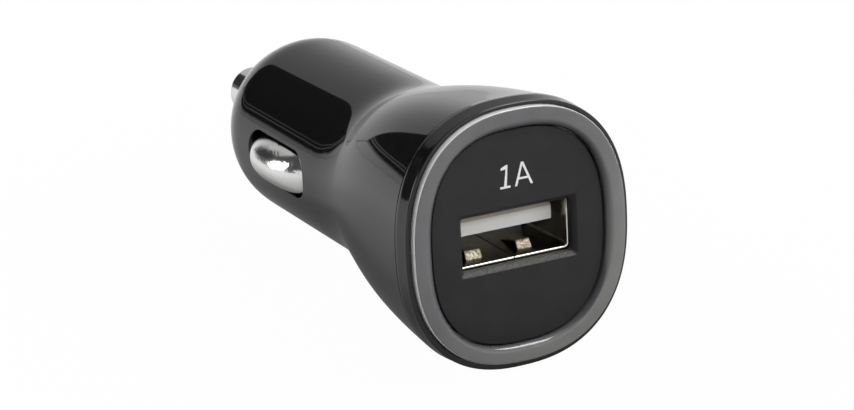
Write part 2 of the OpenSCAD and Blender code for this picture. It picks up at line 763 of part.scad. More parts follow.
// Direction along the strip at station i, in the plane of its side view
function clip_run(i) =
    let (a = clip_line[max(0, i - 1)], b = clip_line[min(len(clip_line) - 1, i + 1)],
        d = [b[0] - a[0], b[1] - a[1]])
    d/norm(d);
function clip_ring(i) =
    let (s = clip_line[i], d = clip_run(i))
    [
        each [for (k = [clip_across:-1:0]) let (v = -cos(180*k/clip_across))
            [leaf_x + s[1]*arch(v, bump_cross_share), s[0], v*s[2]]],
        each [for (k = [0:clip_across]) let (v = -cos(180*k/clip_across))
            [leaf_x + s[1]*arch(v, bump_cross_share) - clip_t*d[0], s[0] + clip_t*d[1],
                v*(s[2] - s[3])]]
    ];

module clip() {
    rings = [for (i = [0:len(clip_line) - 1]) clip_ring(i)];
    m = len(rings[0]);
    n = len(rings);
    polyhedron(
        points = [for (r = rings) each r],
        faces = [
            each [for (i = [0:n - 2]) each band_faces(i, i + 1, m)],
            each [for (k = [0:m/2 - 2]) [k, k + 1, m - 2 - k, m - 1 - k]],
            each [for (k = [0:m/2 - 2]) [for (j = [m - 1 - k, m - 2 - k, k + 1, k]) (n - 1)*m + j]]
        ]);
    translate([leaf_x - roll_r, leaf_root, -leaf_w/2]) cylinder(r = roll_r, h = leaf_w, $fn = 36);
    // Foot of folded sheet that grips the root of the leaf and stands on the board
    translate([0, leaf_root + foot_len/2 - play, 0]) rotate([90, 0, 0]) linear_extrude(foot_len) polygon([
        [leaf_x - foot_w, board_top], [leaf_x + play, board_top],
        [leaf_x + play, -leaf_w/2 + foot_grip], [leaf_x - clip_t - play, -leaf_w/2 + foot_grip],
        [leaf_x - clip_t - play, board_top + clip_t], [leaf_x - foot_w, board_top + clip_t]
    ]);
}
module ground_clip_right() color([0.85, 0.85, 0.84]) clip();
module ground_clip_left() color([0.85, 0.85, 0.84]) mirror([1, 0, 0]) clip();

body_shell();
front_bezel();
light_ring();
face_plate();
usb_shell();
usb_tongue();
usb_contact_1();
usb_contact_2();
usb_contact_3();
usb_contact_4();
circuit_board();
converter_chip();
inductor_core();
inductor_winding();
input_capacitor();
output_capacitor();
rectifier_diode();
ring_leds();
chip_resistors();
chip_capacitors();
pico_fuse();
centre_pin();
pin_spring();
pin_contact();
ground_clip_left();
ground_clip_right();
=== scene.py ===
# %% [markdown]
# # A car charger plug, rebuilt around its solids
# The real object is a glossy black plug for a car's power socket. It has an oval
# head with a smoke-grey light ring and one USB socket, a round barrel with two
# sprung ground clips, and a chromed pin on the nose. Blender gives it the looks:
# smooth skins, finishes and a small photo studio. Every length below is in
# millimetres and is turned into Blender's metres at the last moment.

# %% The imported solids
import math

import bmesh
import bpy
from mathutils import Matrix, Vector


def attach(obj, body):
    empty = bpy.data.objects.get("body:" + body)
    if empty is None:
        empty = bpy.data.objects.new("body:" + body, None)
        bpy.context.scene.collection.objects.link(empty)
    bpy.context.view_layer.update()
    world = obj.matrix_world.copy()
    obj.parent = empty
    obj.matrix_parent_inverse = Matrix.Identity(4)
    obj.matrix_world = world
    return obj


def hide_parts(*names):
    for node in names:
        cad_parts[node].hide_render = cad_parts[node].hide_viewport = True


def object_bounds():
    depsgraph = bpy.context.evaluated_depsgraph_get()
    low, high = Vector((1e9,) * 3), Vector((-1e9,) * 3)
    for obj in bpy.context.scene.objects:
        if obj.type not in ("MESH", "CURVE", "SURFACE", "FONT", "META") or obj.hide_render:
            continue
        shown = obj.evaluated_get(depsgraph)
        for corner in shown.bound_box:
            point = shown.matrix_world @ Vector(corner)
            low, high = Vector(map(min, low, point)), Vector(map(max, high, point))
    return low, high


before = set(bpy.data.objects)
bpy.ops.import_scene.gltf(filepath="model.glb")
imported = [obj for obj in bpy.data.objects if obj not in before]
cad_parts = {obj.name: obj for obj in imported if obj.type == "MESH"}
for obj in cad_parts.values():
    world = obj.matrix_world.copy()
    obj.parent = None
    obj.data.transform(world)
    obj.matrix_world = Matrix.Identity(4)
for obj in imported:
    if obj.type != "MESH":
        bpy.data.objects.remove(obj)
cad_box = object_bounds()
MM = 0.001
print("solids:", len(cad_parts), "box in mm:",
      [[round(v / MM, 2) for v in corner] for corner in cad_box])

# %% [markdown]
# ## Camera
# The photo was taken with a long lens from the front left, a little above. A
# camera could be placed by eye, but then every comparison would be off by a few
# pixels. This one uses the turn, tilt and roll that were worked out from the
# outlines of the rim and the barrel, so that the two pictures lie over each other.

# %% Camera at the photo's angle
TURN, TILT, ROLL = math.radians(26.2836), math.radians(18.0472), math.radians(-2.8657)
LENS_MM = 124.15
AIM = Vector((0, -22, 0))            # middle of the rim
DISTANCE, SHIFT_RIGHT, SHIFT_UP = 300.53, -9.390, 3.169

ahead = Vector((math.sin(TURN) * math.cos(TILT), math.cos(TURN) * math.cos(TILT), -math.sin(TILT)))
level = Vector((math.cos(TURN), -math.sin(TURN), 0))
upright = level.cross(ahead)
across = math.cos(ROLL) * level + math.sin(ROLL) * upright
up = -math.sin(ROLL) * level + math.cos(ROLL) * upright
eye = AIM - ahead * DISTANCE + across * SHIFT_RIGHT + up * SHIFT_UP

camera = bpy.data.objects.new("camera", bpy.data.cameras.new("camera"))
bpy.context.scene.collection.objects.link(camera)
camera.data.lens = LENS_MM
camera.data.sensor_width = 36
camera.data.clip_start = 0.01
camera.matrix_world = Matrix.Translation(eye * MM) @ Matrix((across, up, -ahead)).transposed().to_4x4()
bpy.context.scene.camera = camera
print("camera stands", round(DISTANCE), "mm from the rim")

# %% [markdown]
# ## Writing shaders as sums
# Blender's node editor is fine for trying things, but a long recipe of Math
# nodes is hard to read. Here a socket is wrapped in a small class, so that
# `1 - mask` or `grain * 0.2` adds the Math node by itself. Every other node
# comes from one method, `node`, which first sets the node's own settings and
# then fills its sockets with numbers, colours or links.

# %% Sockets that can be added and multiplied
class Socket:
    """One output of a node. Arithmetic on it adds Math nodes to the same material."""

    def __init__(self, finish, output):
        self.finish = finish
        self.output = output

    def math(self, operation, *terms):
        return self.finish.node("ShaderNodeMath", {"operation": operation}, dict(enumerate(terms)))

    def __add__(self, other):
        return self.math("ADD", self, other)

    __radd__ = __add__

    def __mul__(self, other):
        return self.math("MULTIPLY", self, other)

    __rmul__ = __mul__

    def __sub__(self, other):
        return self.math("SUBTRACT", self, other)

    def __rsub__(self, other):
        return self.math("SUBTRACT", other, self)

    def __gt__(self, other):
        return self.math("GREATER_THAN", self, other)

    def __lt__(self, other):
        return self.math("LESS_THAN", self, other)

    def root(self):
        return self.math("SQRT", self)

    def __abs__(self):
        return self.math("ABSOLUTE", self)

    def at_most(self, other):
        return self.math("MINIMUM", self, other)

    def at_least(self, other):
        return self.math("MAXIMUM", self, other)

    def towards(self, other, share):
        """This value where share is 0, the other one where it is 1."""
        return self + (other - self) * share

    def ramp(self, low, high):
        """0 below low, 1 above high, and smooth in between."""
        return self.finish.node("ShaderNodeMapRange", {"interpolation_type": "SMOOTHSTEP"},
                                {"Value": self, "From Min": low, "From Max": high})


def label(word):
    """base_color -> Base Color, as Blender names the socket."""
    return word.replace("_", " ").title().replace("Ior", "IOR")


class Finish:
    """A material and the nodes that make it."""

    def __init__(self, name, shader="ShaderNodeBsdfPrincipled", **constants):
        self.material = bpy.data.materials.new(name)
        self.material.use_nodes = True
        self.nodes = self.material.node_tree.nodes
        self.links = self.material.node_tree.links
        self.nodes.clear()
        self.surface = self.nodes.new("ShaderNodeOutputMaterial").inputs["Surface"]
        self.shader = self.nodes.new(shader)
        self.links.new(self.shader.outputs[0], self.surface)
        for socket, value in constants.items():
            self.set(self.shader, label(socket), value)
        self.place = self.node("ShaderNodeTexCoord", {}, {}, "Object")

    def set(self, node, socket, value):
        target = node.inputs[socket]
        if isinstance(value, Socket):
            self.links.new(value.output, target)
        elif isinstance(value, (tuple, list)) and len(value) == 3 and target.type == "RGBA":
            target.default_value = (*value, 1)
        else:
            target.default_value = value

    def node(self, kind, settings, sockets, output=0):
        node = self.nodes.new(kind)
        for setting, value in settings.items():
            if setting == "stops":
                ramp = node.color_ramp
                ramp.elements[0].position, ramp.elements[-1].position = value[0][0], value[-1][0]
                for at, _ in value[1:-1]:
                    ramp.elements.new(at)
                in_order = sorted(ramp.elements, key=lambda stop: stop.position)
                for stop, (_, level) in zip(in_order, value):
                    stop.color = (level, level, level, 1)
            else:
                setattr(node, setting, value)
        for socket, value in sockets.items():
            self.set(node, socket, value)
        return Socket(self, node.outputs[output])

    def noise(self, size_mm, detail=2.0, stretch=(1, 1, 1), rough=0.5):
        """Cloudy noise whose lumps are about size_mm across, stretched along the axes."""
        place = self.node("ShaderNodeMapping", {}, {
            "Vector": self.place, "Scale": tuple(1 / (size_mm * MM * s) for s in stretch)})
        return self.node("ShaderNodeTexNoise", {}, {
            "Vector": place, "Scale": 1.0, "Detail": detail, "Roughness": rough})

    def axis(self, vector, number):
        """One of a vector's three numbers, from 0 for X to 2 for Z."""
        return self.node("ShaderNodeSeparateXYZ", {}, {0: vector}, number)

    def facing(self, number):
        """How far the surface faces along an axis of the object, from -1 to 1."""
        return self.axis(self.node("ShaderNodeTexCoord", {}, {}, "Normal"), number)

    def mix(self, share, first, second):
        """A colour between two colours."""
        return self.node("ShaderNodeMix", {"data_type": "RGBA"}, {0: share, 6: first, 7: second}, 2)

    def relief(self, height, depth_mm, strength=1.0, below=None):
        sockets = {"Height": height, "Distance": depth_mm * MM, "Strength": strength}
        if below is not None:
            sockets["Normal"] = below
        return self.node("ShaderNodeBump", {}, sockets)

    def gives(self, **links):
        """Links values to the main shader's sockets."""
        for socket, value in links.items():
            self.set(self.shader, label(socket), value)
        return self


print("shader helpers are ready")

# %% [markdown]
# ## The studio
# The photo shows the plug on pure white, and its gloss shows the studio: a pale
# tent behind it, and in the tent one dark opening, low and to the left, whose
# edges are the sharp black patches on the barrel and on the flare. A single world
# colour would light the plug but leave its gloss blank, so a large dome stands
# around it. The camera looks straight through the dome at a white world, and the
# reflections see the dome.

# %% White world, seen behind everything
world = bpy.data.worlds.new("white")
bpy.context.scene.world = world
world.use_nodes = True
sky = world.node_tree.nodes["Background"]
sky.inputs["Color"].default_value = (1, 1, 1, 1)
sky.inputs["Strength"].default_value = 1.0
bpy.context.scene.view_settings.view_transform = "Standard"
print("world strength", sky.inputs["Strength"].default_value)

# %% Making a mesh from points and faces
def make_mesh(name, points_mm, faces, material=None, crease_deg=30.0):
    """A new object from points in millimetres. Edges sharper than crease_deg stay crisp."""
    mesh = bpy.data.meshes.new(name)
    mesh.from_pydata([tuple(c * MM for c in p) for p in points_mm], [], [tuple(f) for f in faces])
    mesh.validate()
    shape = bmesh.new()
    shape.from_mesh(mesh)
    bmesh.ops.recalc_face_normals(shape, faces=shape.faces)
    shape.to_mesh(mesh)
    shape.free()
    mesh.polygons.foreach_set("use_smooth", [True] * len(mesh.polygons))
    mesh.set_sharp_from_angle(angle=math.radians(crease_deg))
    thing = bpy.data.objects.new(name, mesh)
    bpy.context.scene.collection.objects.link(thing)
    if material is not None:
        mesh.materials.append(material)
    return thing


def band(first, second, count, closed=True):
    """Quads between two loops of points that start at these numbers."""
    last = count if closed else count - 1
    return [(first + k, first + (k + 1) % count, second + (k + 1) % count, second + k)
            for k in range(last)]


# %% [markdown]
# ## Tent
# The tent's glow changes with direction, as that of a real one does. Each part is
# a bearing and a height in degrees, worked out from where its reflection lies on
# the barrel and the flare. Painting them as an image would be quick, but sums of
# soft steps stay sharp at any size, and they can be read and changed.

# %% Bearings on the dome
TENT_R = 9000.0
LOW_Z = cad_box[0][2] / MM


def bearings(finish):
    """Degrees from straight behind the plug towards the right, and degrees above the floor."""
    x, y, z = (finish.axis(finish.place, k) for k in range(3))
    flat = (x * x + y * y).root()
    degree = 180 / math.pi
    return x.math("ARCTAN2", x, y) * degree, z.math("ARCTAN2", z, flat) * degree


tent = Finish("tent_cloth", shader="ShaderNodeEmission", color=(1, 1, 1))
turn, rise = bearings(tent)
BY_HEIGHT = [(0, 0.77), (5, 0.81), (10, 0.74), (14, 0.66), (17, 0.58),
             (22, 0.50), (28, 0.46), (45, 0.50), (90, 0.50)]
behind = tent.node("ShaderNodeValToRGB", {"stops": [(at / 90, level) for at, level in BY_HEIGHT]},
                   {"Fac": rise * (1 / 90)})
behind = behind * (0.74 + turn.ramp(-32, -13) * 0.26 - turn.ramp(20, 32) * 0.15)
print("tent radius", TENT_R, "mm, floor at", round(LOW_Z, 2), "mm")

# %% Dark parts of the tent
FRONT_GLOW, LEFT_GLOW, TOP_GLOW, OPENING_GLOW = 1.2, 0.06, 0.09, 0.028
in_front = turn.ramp(40, 100) + (1 - turn.ramp(-158, -148))
on_left = turn.ramp(-158, -148) * (1 - turn.ramp(-36, -32))
overhead = rise.ramp(50, 56) * turn.ramp(-158, -148) * (1 - turn.ramp(18, 36))
edge_turn = turn - rise * 0.07
lower_edge = rise - ((turn + 12).at_most(0)) * 0.15
opening = (1 - edge_turn.ramp(-7.57, -7.07)) * lower_edge.ramp(3.6, 5.6) * (1 - rise.ramp(30, 32))
glow = behind.towards(FRONT_GLOW, in_front).towards(TOP_GLOW, overhead)
glow = glow.towards(LEFT_GLOW, on_left).towards(OPENING_GLOW, opening * turn.ramp(-36, -32))

# Two thin light rails cross the opening near its lower edge, and a cord hangs from its corner
in_opening = (1 - edge_turn.ramp(-7.57, -7.07)) * turn.ramp(-36, -32)
upper_rail = (1 - abs(rise - 7.65) * 2.2).at_least(0) * 0.36
lower_rail = (1 - abs(rise - ((turn + 18).at_most(0)) * 0.115 - 6.45) * 2.2).at_least(0) * 0.46
glow = glow + in_opening * (upper_rail + lower_rail)
along_cord = (turn + 7.5) * 0.766 - (rise - 4.5) * 0.643
off_cord = abs((turn + 7.5) * 0.643 + (rise - 4.5) * 0.766)
cord = (1 - off_cord * 2.4).at_least(0) * along_cord.ramp(-0.3, 0) * (1 - along_cord.ramp(9.6, 10))
tent.gives(strength=glow * (1 - cord * 0.65))
tent.material.cycles.emission_sampling = "NONE"
print("opening runs from 32 degrees left to 7 degrees left")


# %% [markdown]
# ## Dome and lamps
# The dome is one sphere of quads. Two softboxes stand just inside it: a wide one
# high at the front right, which draws the white arc low on the light ring, and a
# small one at the far left, which is the bright spot on the ground clip. As
# separate panels Blender can aim its light samples at them.

# %% Dome and softboxes
def bearing_point(turn_deg, rise_deg, radius):
    turned, risen = math.radians(turn_deg), math.radians(rise_deg)
    return (radius * math.sin(turned) * math.cos(risen), radius * math.cos(turned) * math.cos(risen),
            radius * math.sin(risen))


def dome_patch(name, turns, rises, radius, columns, rows, material):
    """Part of a sphere between two bearings and two heights."""
    points = [bearing_point(turns[0] + (turns[1] - turns[0]) * i / columns,
                            rises[0] + (rises[1] - rises[0]) * j / rows, radius)
              for j in range(rows + 1) for i in range(columns + 1)]
    wide = columns + 1
    faces = [(j * wide + i, j * wide + i + 1, (j + 1) * wide + i + 1, (j + 1) * wide + i)
             for j in range(rows) for i in range(columns)]
    patch = make_mesh(name, points, faces, material)
    patch.visible_camera = False
    return patch


dome_patch("tent_dome", (-180, 180), (-89.9, 89.9), TENT_R, 120, 60, tent.material)


def softbox(name, turns, rises, strength, soft):
    """A lamp panel whose light fades towards its edges."""
    cloth = Finish(name, shader="ShaderNodeEmission", color=(1, 1, 1))
    panel_turn, panel_rise = bearings(cloth)
    fade = (panel_turn.ramp(turns[0], turns[0] + soft) * (1 - panel_turn.ramp(turns[1] - soft, turns[1]))
            * panel_rise.ramp(rises[0], rises[0] + soft) * (1 - panel_rise.ramp(rises[1] - soft, rises[1])))
    cloth.gives(strength=fade * strength)
    return dome_patch(name, turns, rises, TENT_R * 0.97, 12, 8, cloth.material)


softbox("top_softbox", (92, 156), (44, 70), 11.0, 5)
softbox("left_softbox", (-82, -41), (0.3, 24), 6.0, 8)
print("dome and two softboxes stand")

# %% [markdown]
# ## Floor
# The plug lies on plain pale paper. The paper is lit like anything else, so it keeps the plug's shadow, but the
# photo was exposed until the paper burned out to white. Light Path tells which rays come from the camera, and those
# see nearly white. Reflections see a little of that white too. Close to the plug the sheet is painted a darker
# grey, a painted shade of the plug, which keeps the lower flanks of the gloss as deep as they are in the photo.

# %% Paper floor
paper = Finish("paper_floor", roughness=0.9, specular_ior_level=0.1)
floor_x, floor_y = (paper.axis(paper.place, k) for k in range(2))
past_ends = (abs(floor_y - 0.009) - 0.031).at_least(0)
from_plug = (floor_x * floor_x + past_ends * past_ends).root()
# Painted shade: the paper's grey darkens towards the plug.
PAPER_PAINTED_SHADE = [(0, 0.26), (0.026, 0.46), (0.033, 0.54), (0.045, 0.62),
               (0.066, 0.68), (0.16, 0.72), (1, 0.76)]
paper.gives(base_color=paper.node("ShaderNodeValToRGB", {"stops": PAPER_PAINTED_SHADE}, {"Fac": from_plug}))
seen = {ray: paper.node("ShaderNodeLightPath", {}, {}, ray)
        for ray in ("Is Camera Ray", "Is Glossy Ray", "Is Transmission Ray")}
white = paper.node("ShaderNodeEmission", {}, {"Color": (1, 1, 1), "Strength": 1.0}, "Emission")
lit = Socket(paper, paper.shader.outputs[0])
exposed = paper.node("ShaderNodeMixShader", {}, {
    0: seen["Is Camera Ray"] * 0.985 + (seen["Is Glossy Ray"] + seen["Is Transmission Ray"]) * 0.12,
    1: lit, 2: white})
paper.links.new(exposed.output, paper.surface)

FLOOR_R, FLOOR_SIDES = TENT_R - 60, 96
floor_rings = [0.5, 20, 60, 120, 240, 480, 1200, 4000, FLOOR_R]
floor_points, floor_faces = [], []
for r in floor_rings:
    for k in range(FLOOR_SIDES):
        angle = 2 * math.pi * k / FLOOR_SIDES
        floor_points.append((r * math.cos(angle), r * math.sin(angle), LOW_Z - 0.02))
for i in range(len(floor_rings) - 1):
    floor_faces += band(i * FLOOR_SIDES, (i + 1) * FLOOR_SIDES, FLOOR_SIDES)
floor_faces.append(tuple(range(FLOOR_SIDES - 1, -1, -1)))
floor = make_mesh("floor", floor_points, floor_faces, paper.material)
print("floor lies at", round(LOW_Z, 2), "mm")

# %% [markdown]
# ## Numbers that the skins share with the solids
# The skins below follow the solids, so they start from the same sizes. The
# solids are made of flat facets where they aren't round, and a facet would show
# in the gloss at once. Each skin is therefore drawn again from the same curve,
# many times finer and with smooth shading.

# %% Shared sizes in millimetres
RIM_Y, CREASE_Y = -22.0, -19.8
HEAD_A, HEAD_B = 13.025, 14.3          # half width and half height at the crease
BARREL_R, NOSE_R = 10.35, 10.30
SEAT_END, BARREL_END, NOSE_LEN = 8.3, 27.0, 12.6
WALL = 1.6
NOSE_ROUND = 1.48
SQUARE, MID_SQUARE, END_SQUARE = 2.4, 2.62, 2.16   # the head's outlines from the crease to the shoulder
SHELL_FRONT = RIM_Y + 1.18
print("rim at", RIM_Y, "shoulder at 0, nose ends at", BARREL_END + NOSE_LEN)


# %% Outlines that are rounder than a box and squarer than an oval
def signed_power(value, power):
    return math.copysign(abs(value) ** power, value)


def outline(a, b, n, y, count=288):
    """A closed squarish loop, counter-clockwise as seen from the front."""
    loop = []
    for k in range(count):
        t = 2 * math.pi * k / count
        loop.append((a * signed_power(math.cos(t), 2 / n), y, b * signed_power(math.sin(t), 2 / n)))
    return loop


def skin(name, loops, material, closed=False, ends=(False, False), crease_deg=30.0):
    """A surface through loops of equal length. closed joins the last loop to the first."""
    count = len(loops[0])
    points = [p for loop in loops for p in loop]
    faces = []
    for i in range(len(loops) - 1):
        faces += band(i * count, (i + 1) * count, count)
    if closed:
        faces += band((len(loops) - 1) * count, 0, count)
    if ends[0]:
        faces.append(tuple(range(count - 1, -1, -1)))
    if ends[1]:
        faces.append(tuple(range((len(loops) - 1) * count, len(loops) * count)))
    return make_mesh(name, points, faces, material, crease_deg)


# %% [markdown]
# ## Gloss black plastic
# The plug's body is moulded in black plastic and polished. A flat black would
# look like paint in a drawing: what makes it real is the sharp reflection, a very
# slight waviness left by the mould, and a few fine rubs that are a little duller.
# The waviness is a bump that is millimetres wide and thousandths of a millimetre
# deep, and the rubs only change the roughness.

# %% Body finish
body_gloss = Finish("body_gloss", ior=1.5)
waves = body_gloss.noise(9, detail=1.0, stretch=(1, 1.6, 1))
rubs = body_gloss.noise(2.2, detail=4.0, stretch=(1, 6, 1), rough=0.65).ramp(0.56, 0.78)
specks = body_gloss.noise(0.28, detail=1.0).ramp(0.71, 0.76)
body_gloss.gives(
    base_color=body_gloss.mix(specks, (0.0055, 0.0055, 0.0058), (0.03, 0.03, 0.03)),
    roughness=0.04 + rubs * 0.05 + specks * 0.06,
    normal=body_gloss.relief(waves, 0.007))
print("made", body_gloss.material.name)

# %% [markdown]
# ## Body: head, barrel and nose in one skin
# On the real plug one moulding runs from the crease behind the rim to the hole
# for the pin. The flare and the barrel could be two pieces, but then their joint
# would cut the reflections. Here every point is a distance from the axis. The
# flare's distance runs on past the shoulder and sinks under the barrel, and a
# soft maximum of the two gives the hollow curve that the photo shows there.

# %% Distance of the body's skin from the axis
BLEND = 0.43                           # softness of the hollow at the shoulder
MERGE_END, MERGE_LEN = 7, 4            # where the flare has gone into the barrel, and its last stretch


def flare_share(t):
    if t > 1:
        return -1.7 * (t - 1) - 1.4 * (t - 1) ** 2
    return ((2 * t ** 3 - 3 * t ** 2 + 1) - 1.0 * (t ** 3 - 2 * t ** 2 + t)
            - 1.7 * (t ** 3 - t ** 2))


def barrel_radius(y):
    if y <= SEAT_END:
        return BARREL_R
    return BARREL_R + (NOSE_R - BARREL_R) * min(1, (y - SEAT_END) / (BARREL_END - SEAT_END))


def flare_square(y):
    """Squareness of the flare's sections: fullest half-way, nearly round at the shoulder."""
    t = min(1, (y - CREASE_Y) / -CREASE_Y)
    return SQUARE * (1 - t) * (1 - 2 * t) + MID_SQUARE * 4 * t * (1 - t) + END_SQUARE * t * (2 * t - 1)


def body_radius(angle, y):
    """Distance from the axis at this angle round it."""
    base = barrel_radius(y)
    if y > MERGE_END:
        return base
    share = flare_share((y - CREASE_Y) / -CREASE_Y)
    a = BARREL_R + 0.05 + (HEAD_A - BARREL_R - 0.05) * share
    b = BARREL_R + 0.05 + (HEAD_B - BARREL_R - 0.05) * share
    n = flare_square(y)
    flare = (abs(math.cos(angle) / a) ** n + abs(math.sin(angle) / b) ** n) ** (-1 / n)
    over = (flare - base) / BLEND
    fade = min(1, max(0, (MERGE_END - y) / MERGE_LEN))
    return base + BLEND * (over if over > 30 else math.log1p(math.exp(over))) * fade * fade * (3 - 2 * fade)


for y in (-19.8, -10, 0, 4, 20):
    print("at", y, "half width", round(body_radius(0, y), 2), "half height",
          round(body_radius(math.pi / 2, y), 2))

# %% Rings of the outside and the inside, and the windows' columns
COLUMNS = 288
WINDOW_Y, WINDOW_LEN, WINDOW_H, WINDOW_CORNER = 15.6, 14.4, 5.36, 2.6
PATCH_COLUMNS = 20                     # columns on each side of a window's middle
PATCH_LOW, PATCH_HIGH = 6.9, 24.3
BORE_R = BARREL_R - WALL
STOP_Y, PIN_HOLE_R = 36.0, 3.06


def nose_point(r, length, start, degrees):
    t = math.radians(degrees)
    return r * math.cos(t) ** (2 / NOSE_ROUND), start + length * math.sin(t) ** (2 / NOSE_ROUND)


BEND_SOFT = 1.0                        # reach of the average below, in millimetres


def softened_radius(y):
    """The barrel runs into the nose through a soft bend, an average over the profile."""
    total = weight = 0
    for k in range(-12, 13):
        at = y + k * 0.25
        share = math.exp(-(k * 0.25 / BEND_SOFT) ** 2 / 2)
        reach = max(0, (at - BARREL_END) / NOSE_LEN)
        r = barrel_radius(at) if reach == 0 else NOSE_R * max(0, 1 - reach ** NOSE_ROUND) ** (1 / NOSE_ROUND)
        total, weight = total + r * share, weight + share
    return total / weight


def steps(low, high, count):
    return [low + (high - low) * i / count for i in range(count + 1)]


patch_rows = steps(PATCH_LOW, PATCH_HIGH, 48)
outer_rows = ([CREASE_Y + 0.03] + steps(CREASE_Y + 0.12, -8, 40) + steps(-7.8, 5.8, 70)
              + steps(6.1, 6.6, 2) + patch_rows + steps(24.7, 26.9, 6))
nose_rows = []
for i in range(61):
    r, y = nose_point(NOSE_R, NOSE_LEN, BARREL_END, 90 * i / 60)
    if r > PIN_HOLE_R + 0.3:
        fade = min(1, max(0, (35 - y) / 5))
        nose_rows.append((r + (softened_radius(y) - r) * fade, y))
rim_r, rim_y = nose_rows[-1]
print(len(outer_rows) + len(nose_rows), "rings outside, nose rim at", round(rim_y, 2))


# %% Window outline, walked round once
def rounded_box_hit(dx, dy, half_x, half_y, corner):
    """Where a ray from the middle leaves a rectangle with round corners."""
    low, high = 0.0, 4.0
    for _ in range(40):
        mid = (low + high) / 2
        x, y = abs(dx * mid), abs(dy * mid)
        cx, cy = max(0, x - (half_x - corner)), max(0, y - (half_y - corner))
        inside = x <= half_x and y <= half_y and (cx * cx + cy * cy <= corner * corner)
        low, high = (mid, high) if inside else (low, mid)
    return dx * low, dy * low


def patch_loop(side, row_count):
    """Grid places (row, column) round a window's patch, in order."""
    middle = 0 if side > 0 else COLUMNS // 2
    loop = [(0, middle + c) for c in range(-PATCH_COLUMNS, PATCH_COLUMNS)]
    loop += [(r, middle + PATCH_COLUMNS) for r in range(row_count - 1)]
    loop += [(row_count - 1, middle + c) for c in range(PATCH_COLUMNS, -PATCH_COLUMNS, -1)]
    loop += [(r, middle - PATCH_COLUMNS) for r in range(row_count - 1, 0, -1)]
    return loop


def window_rings(side, loop, radius_at):
    """Loops of points from the patch's edge in to the window's edge, on the surface."""
    rings = []
    half_y, half_z = WINDOW_LEN / 2, WINDOW_H / 2
    flip = 1 if side > 0 else -1
    for share, grow in ((0.25, 0), (0.5, 0), (0.72, 0), (0.88, 0), (1, 0.2), (1, 0.12)):
        ring = []
        for row, column in loop:
            y = patch_rows[row]
            angle = 2 * math.pi * column / COLUMNS
            z = flip * math.sin(angle - (0 if side > 0 else math.pi)) * radius_at(y)
            hy, hz = rounded_box_hit(y - WINDOW_Y, z, half_y + grow, half_z + grow, WINDOW_CORNER + grow)
            yy = y + (WINDOW_Y + hy - y) * share
            zz = z + (hz - z) * share
            r = radius_at(yy)
            ring.append((side * math.sqrt(r * r - zz * zz), yy, zz))
        rings.append(ring)
    return rings


print("a window's loop has", len(patch_loop(1, len(patch_rows))), "points")

# %% Building the body's skin
points, faces = [], []
grid = {}


def add_ring(kind, index, ring):
    for column, p in enumerate(ring):
        grid[kind, index, column] = len(points)
        points.append(p)


def round_ring(radius, y):
    ring = []
    for column in range(COLUMNS):
        angle = 2 * math.pi * column / COLUMNS
        r = radius(angle, y) if callable(radius) else radius
        ring.append((r * math.cos(angle), y, r * math.sin(angle)))
    return ring


def in_patch(column):
    """Whether the quad between this column and the next lies in a window's patch."""
    from_right = (column + COLUMNS // 2) % COLUMNS - COLUMNS // 2
    from_left = column - COLUMNS // 2
    return any(-PATCH_COLUMNS <= d < PATCH_COLUMNS for d in (from_right, from_left))


def quad(a, b, c, d, outward):
    faces.append((a, b, c, d) if outward else (d, c, b, a))


def tube(kind, rows, first_patch, outward):
    """Quads between rings, left open where the windows' patches are."""
    for i in range(rows - 1):
        for c in range(COLUMNS):
            if first_patch <= i < first_patch + len(patch_rows) - 1 and in_patch(c):
                continue
            d = (c + 1) % COLUMNS
            quad(grid[kind, i, c], grid[kind, i, d], grid[kind, i + 1, d], grid[kind, i + 1, c], outward)


for i, y in enumerate(outer_rows):
    if i == 0:
        add_ring("out", i, round_ring(lambda a, _: body_radius(a, CREASE_Y + 0.12) - 0.1, y))
    else:
        add_ring("out", i, round_ring(softened_radius(y) if y > PATCH_HIGH else body_radius, y))
for j, (r, y) in enumerate(nose_rows):
    add_ring("out", len(outer_rows) + j, round_ring(r, y))
out_rows = len(outer_rows) + len(nose_rows)
outer_patch_start = outer_rows.index(patch_rows[0])
tube("out", out_rows, outer_patch_start, False)

# The inside: along the flare, the bore and the nose, to the wall that stops the pin
inner = [(None, CREASE_Y + 0.03)] + [(None, y) for y in steps(CREASE_Y + 1.5, -2.5, 16)]
inner += [(BORE_R, y) for y in (0.5, 3.5, 6.3)] + [(BORE_R, y) for y in patch_rows] + [(BORE_R, 25.5)]
for i in range(0, 61, 3):
    r, y = nose_point(BORE_R, NOSE_LEN, BARREL_END - WALL / 2, 90 * i / 60)
    if y < STOP_Y - 0.05:
        inner.append((r, y))
inner.append((nose_point(BORE_R, NOSE_LEN, BARREL_END - WALL / 2, 52)[0] * 0.985, STOP_Y))
for i, (r, y) in enumerate(inner):
    inset = (lambda a, yy: max(BORE_R, body_radius(a, yy) - 1.5)) if r is None else r
    add_ring("in", i, round_ring(inset, y))
inner_patch_start = [y for _, y in inner].index(patch_rows[0])
tube("in", len(inner), inner_patch_start, True)

# Front edge, and the hole for the pin with a small round at its mouth
hole = [(rim_r - 0.12, rim_y + 0.05), (PIN_HOLE_R + 0.06, rim_y + 0.06), (PIN_HOLE_R, rim_y - 0.02),
        (PIN_HOLE_R, rim_y - 0.9), (PIN_HOLE_R, STOP_Y)]
for i, (r, y) in enumerate(hole):
    add_ring("hole", i, round_ring(r, y))


def join(kind_a, row_a, kind_b, row_b, outward):
    for c in range(COLUMNS):
        d = (c + 1) % COLUMNS
        quad(grid[kind_a, row_a, c], grid[kind_a, row_a, d], grid[kind_b, row_b, d],
             grid[kind_b, row_b, c], outward)


join("in", 0, "out", 0, False)
join("out", out_rows - 1, "hole", 0, False)
for i in range(len(hole) - 1):
    join("hole", i, "hole", i + 1, False)
join("hole", len(hole) - 1, "in", len(inner) - 1, False)

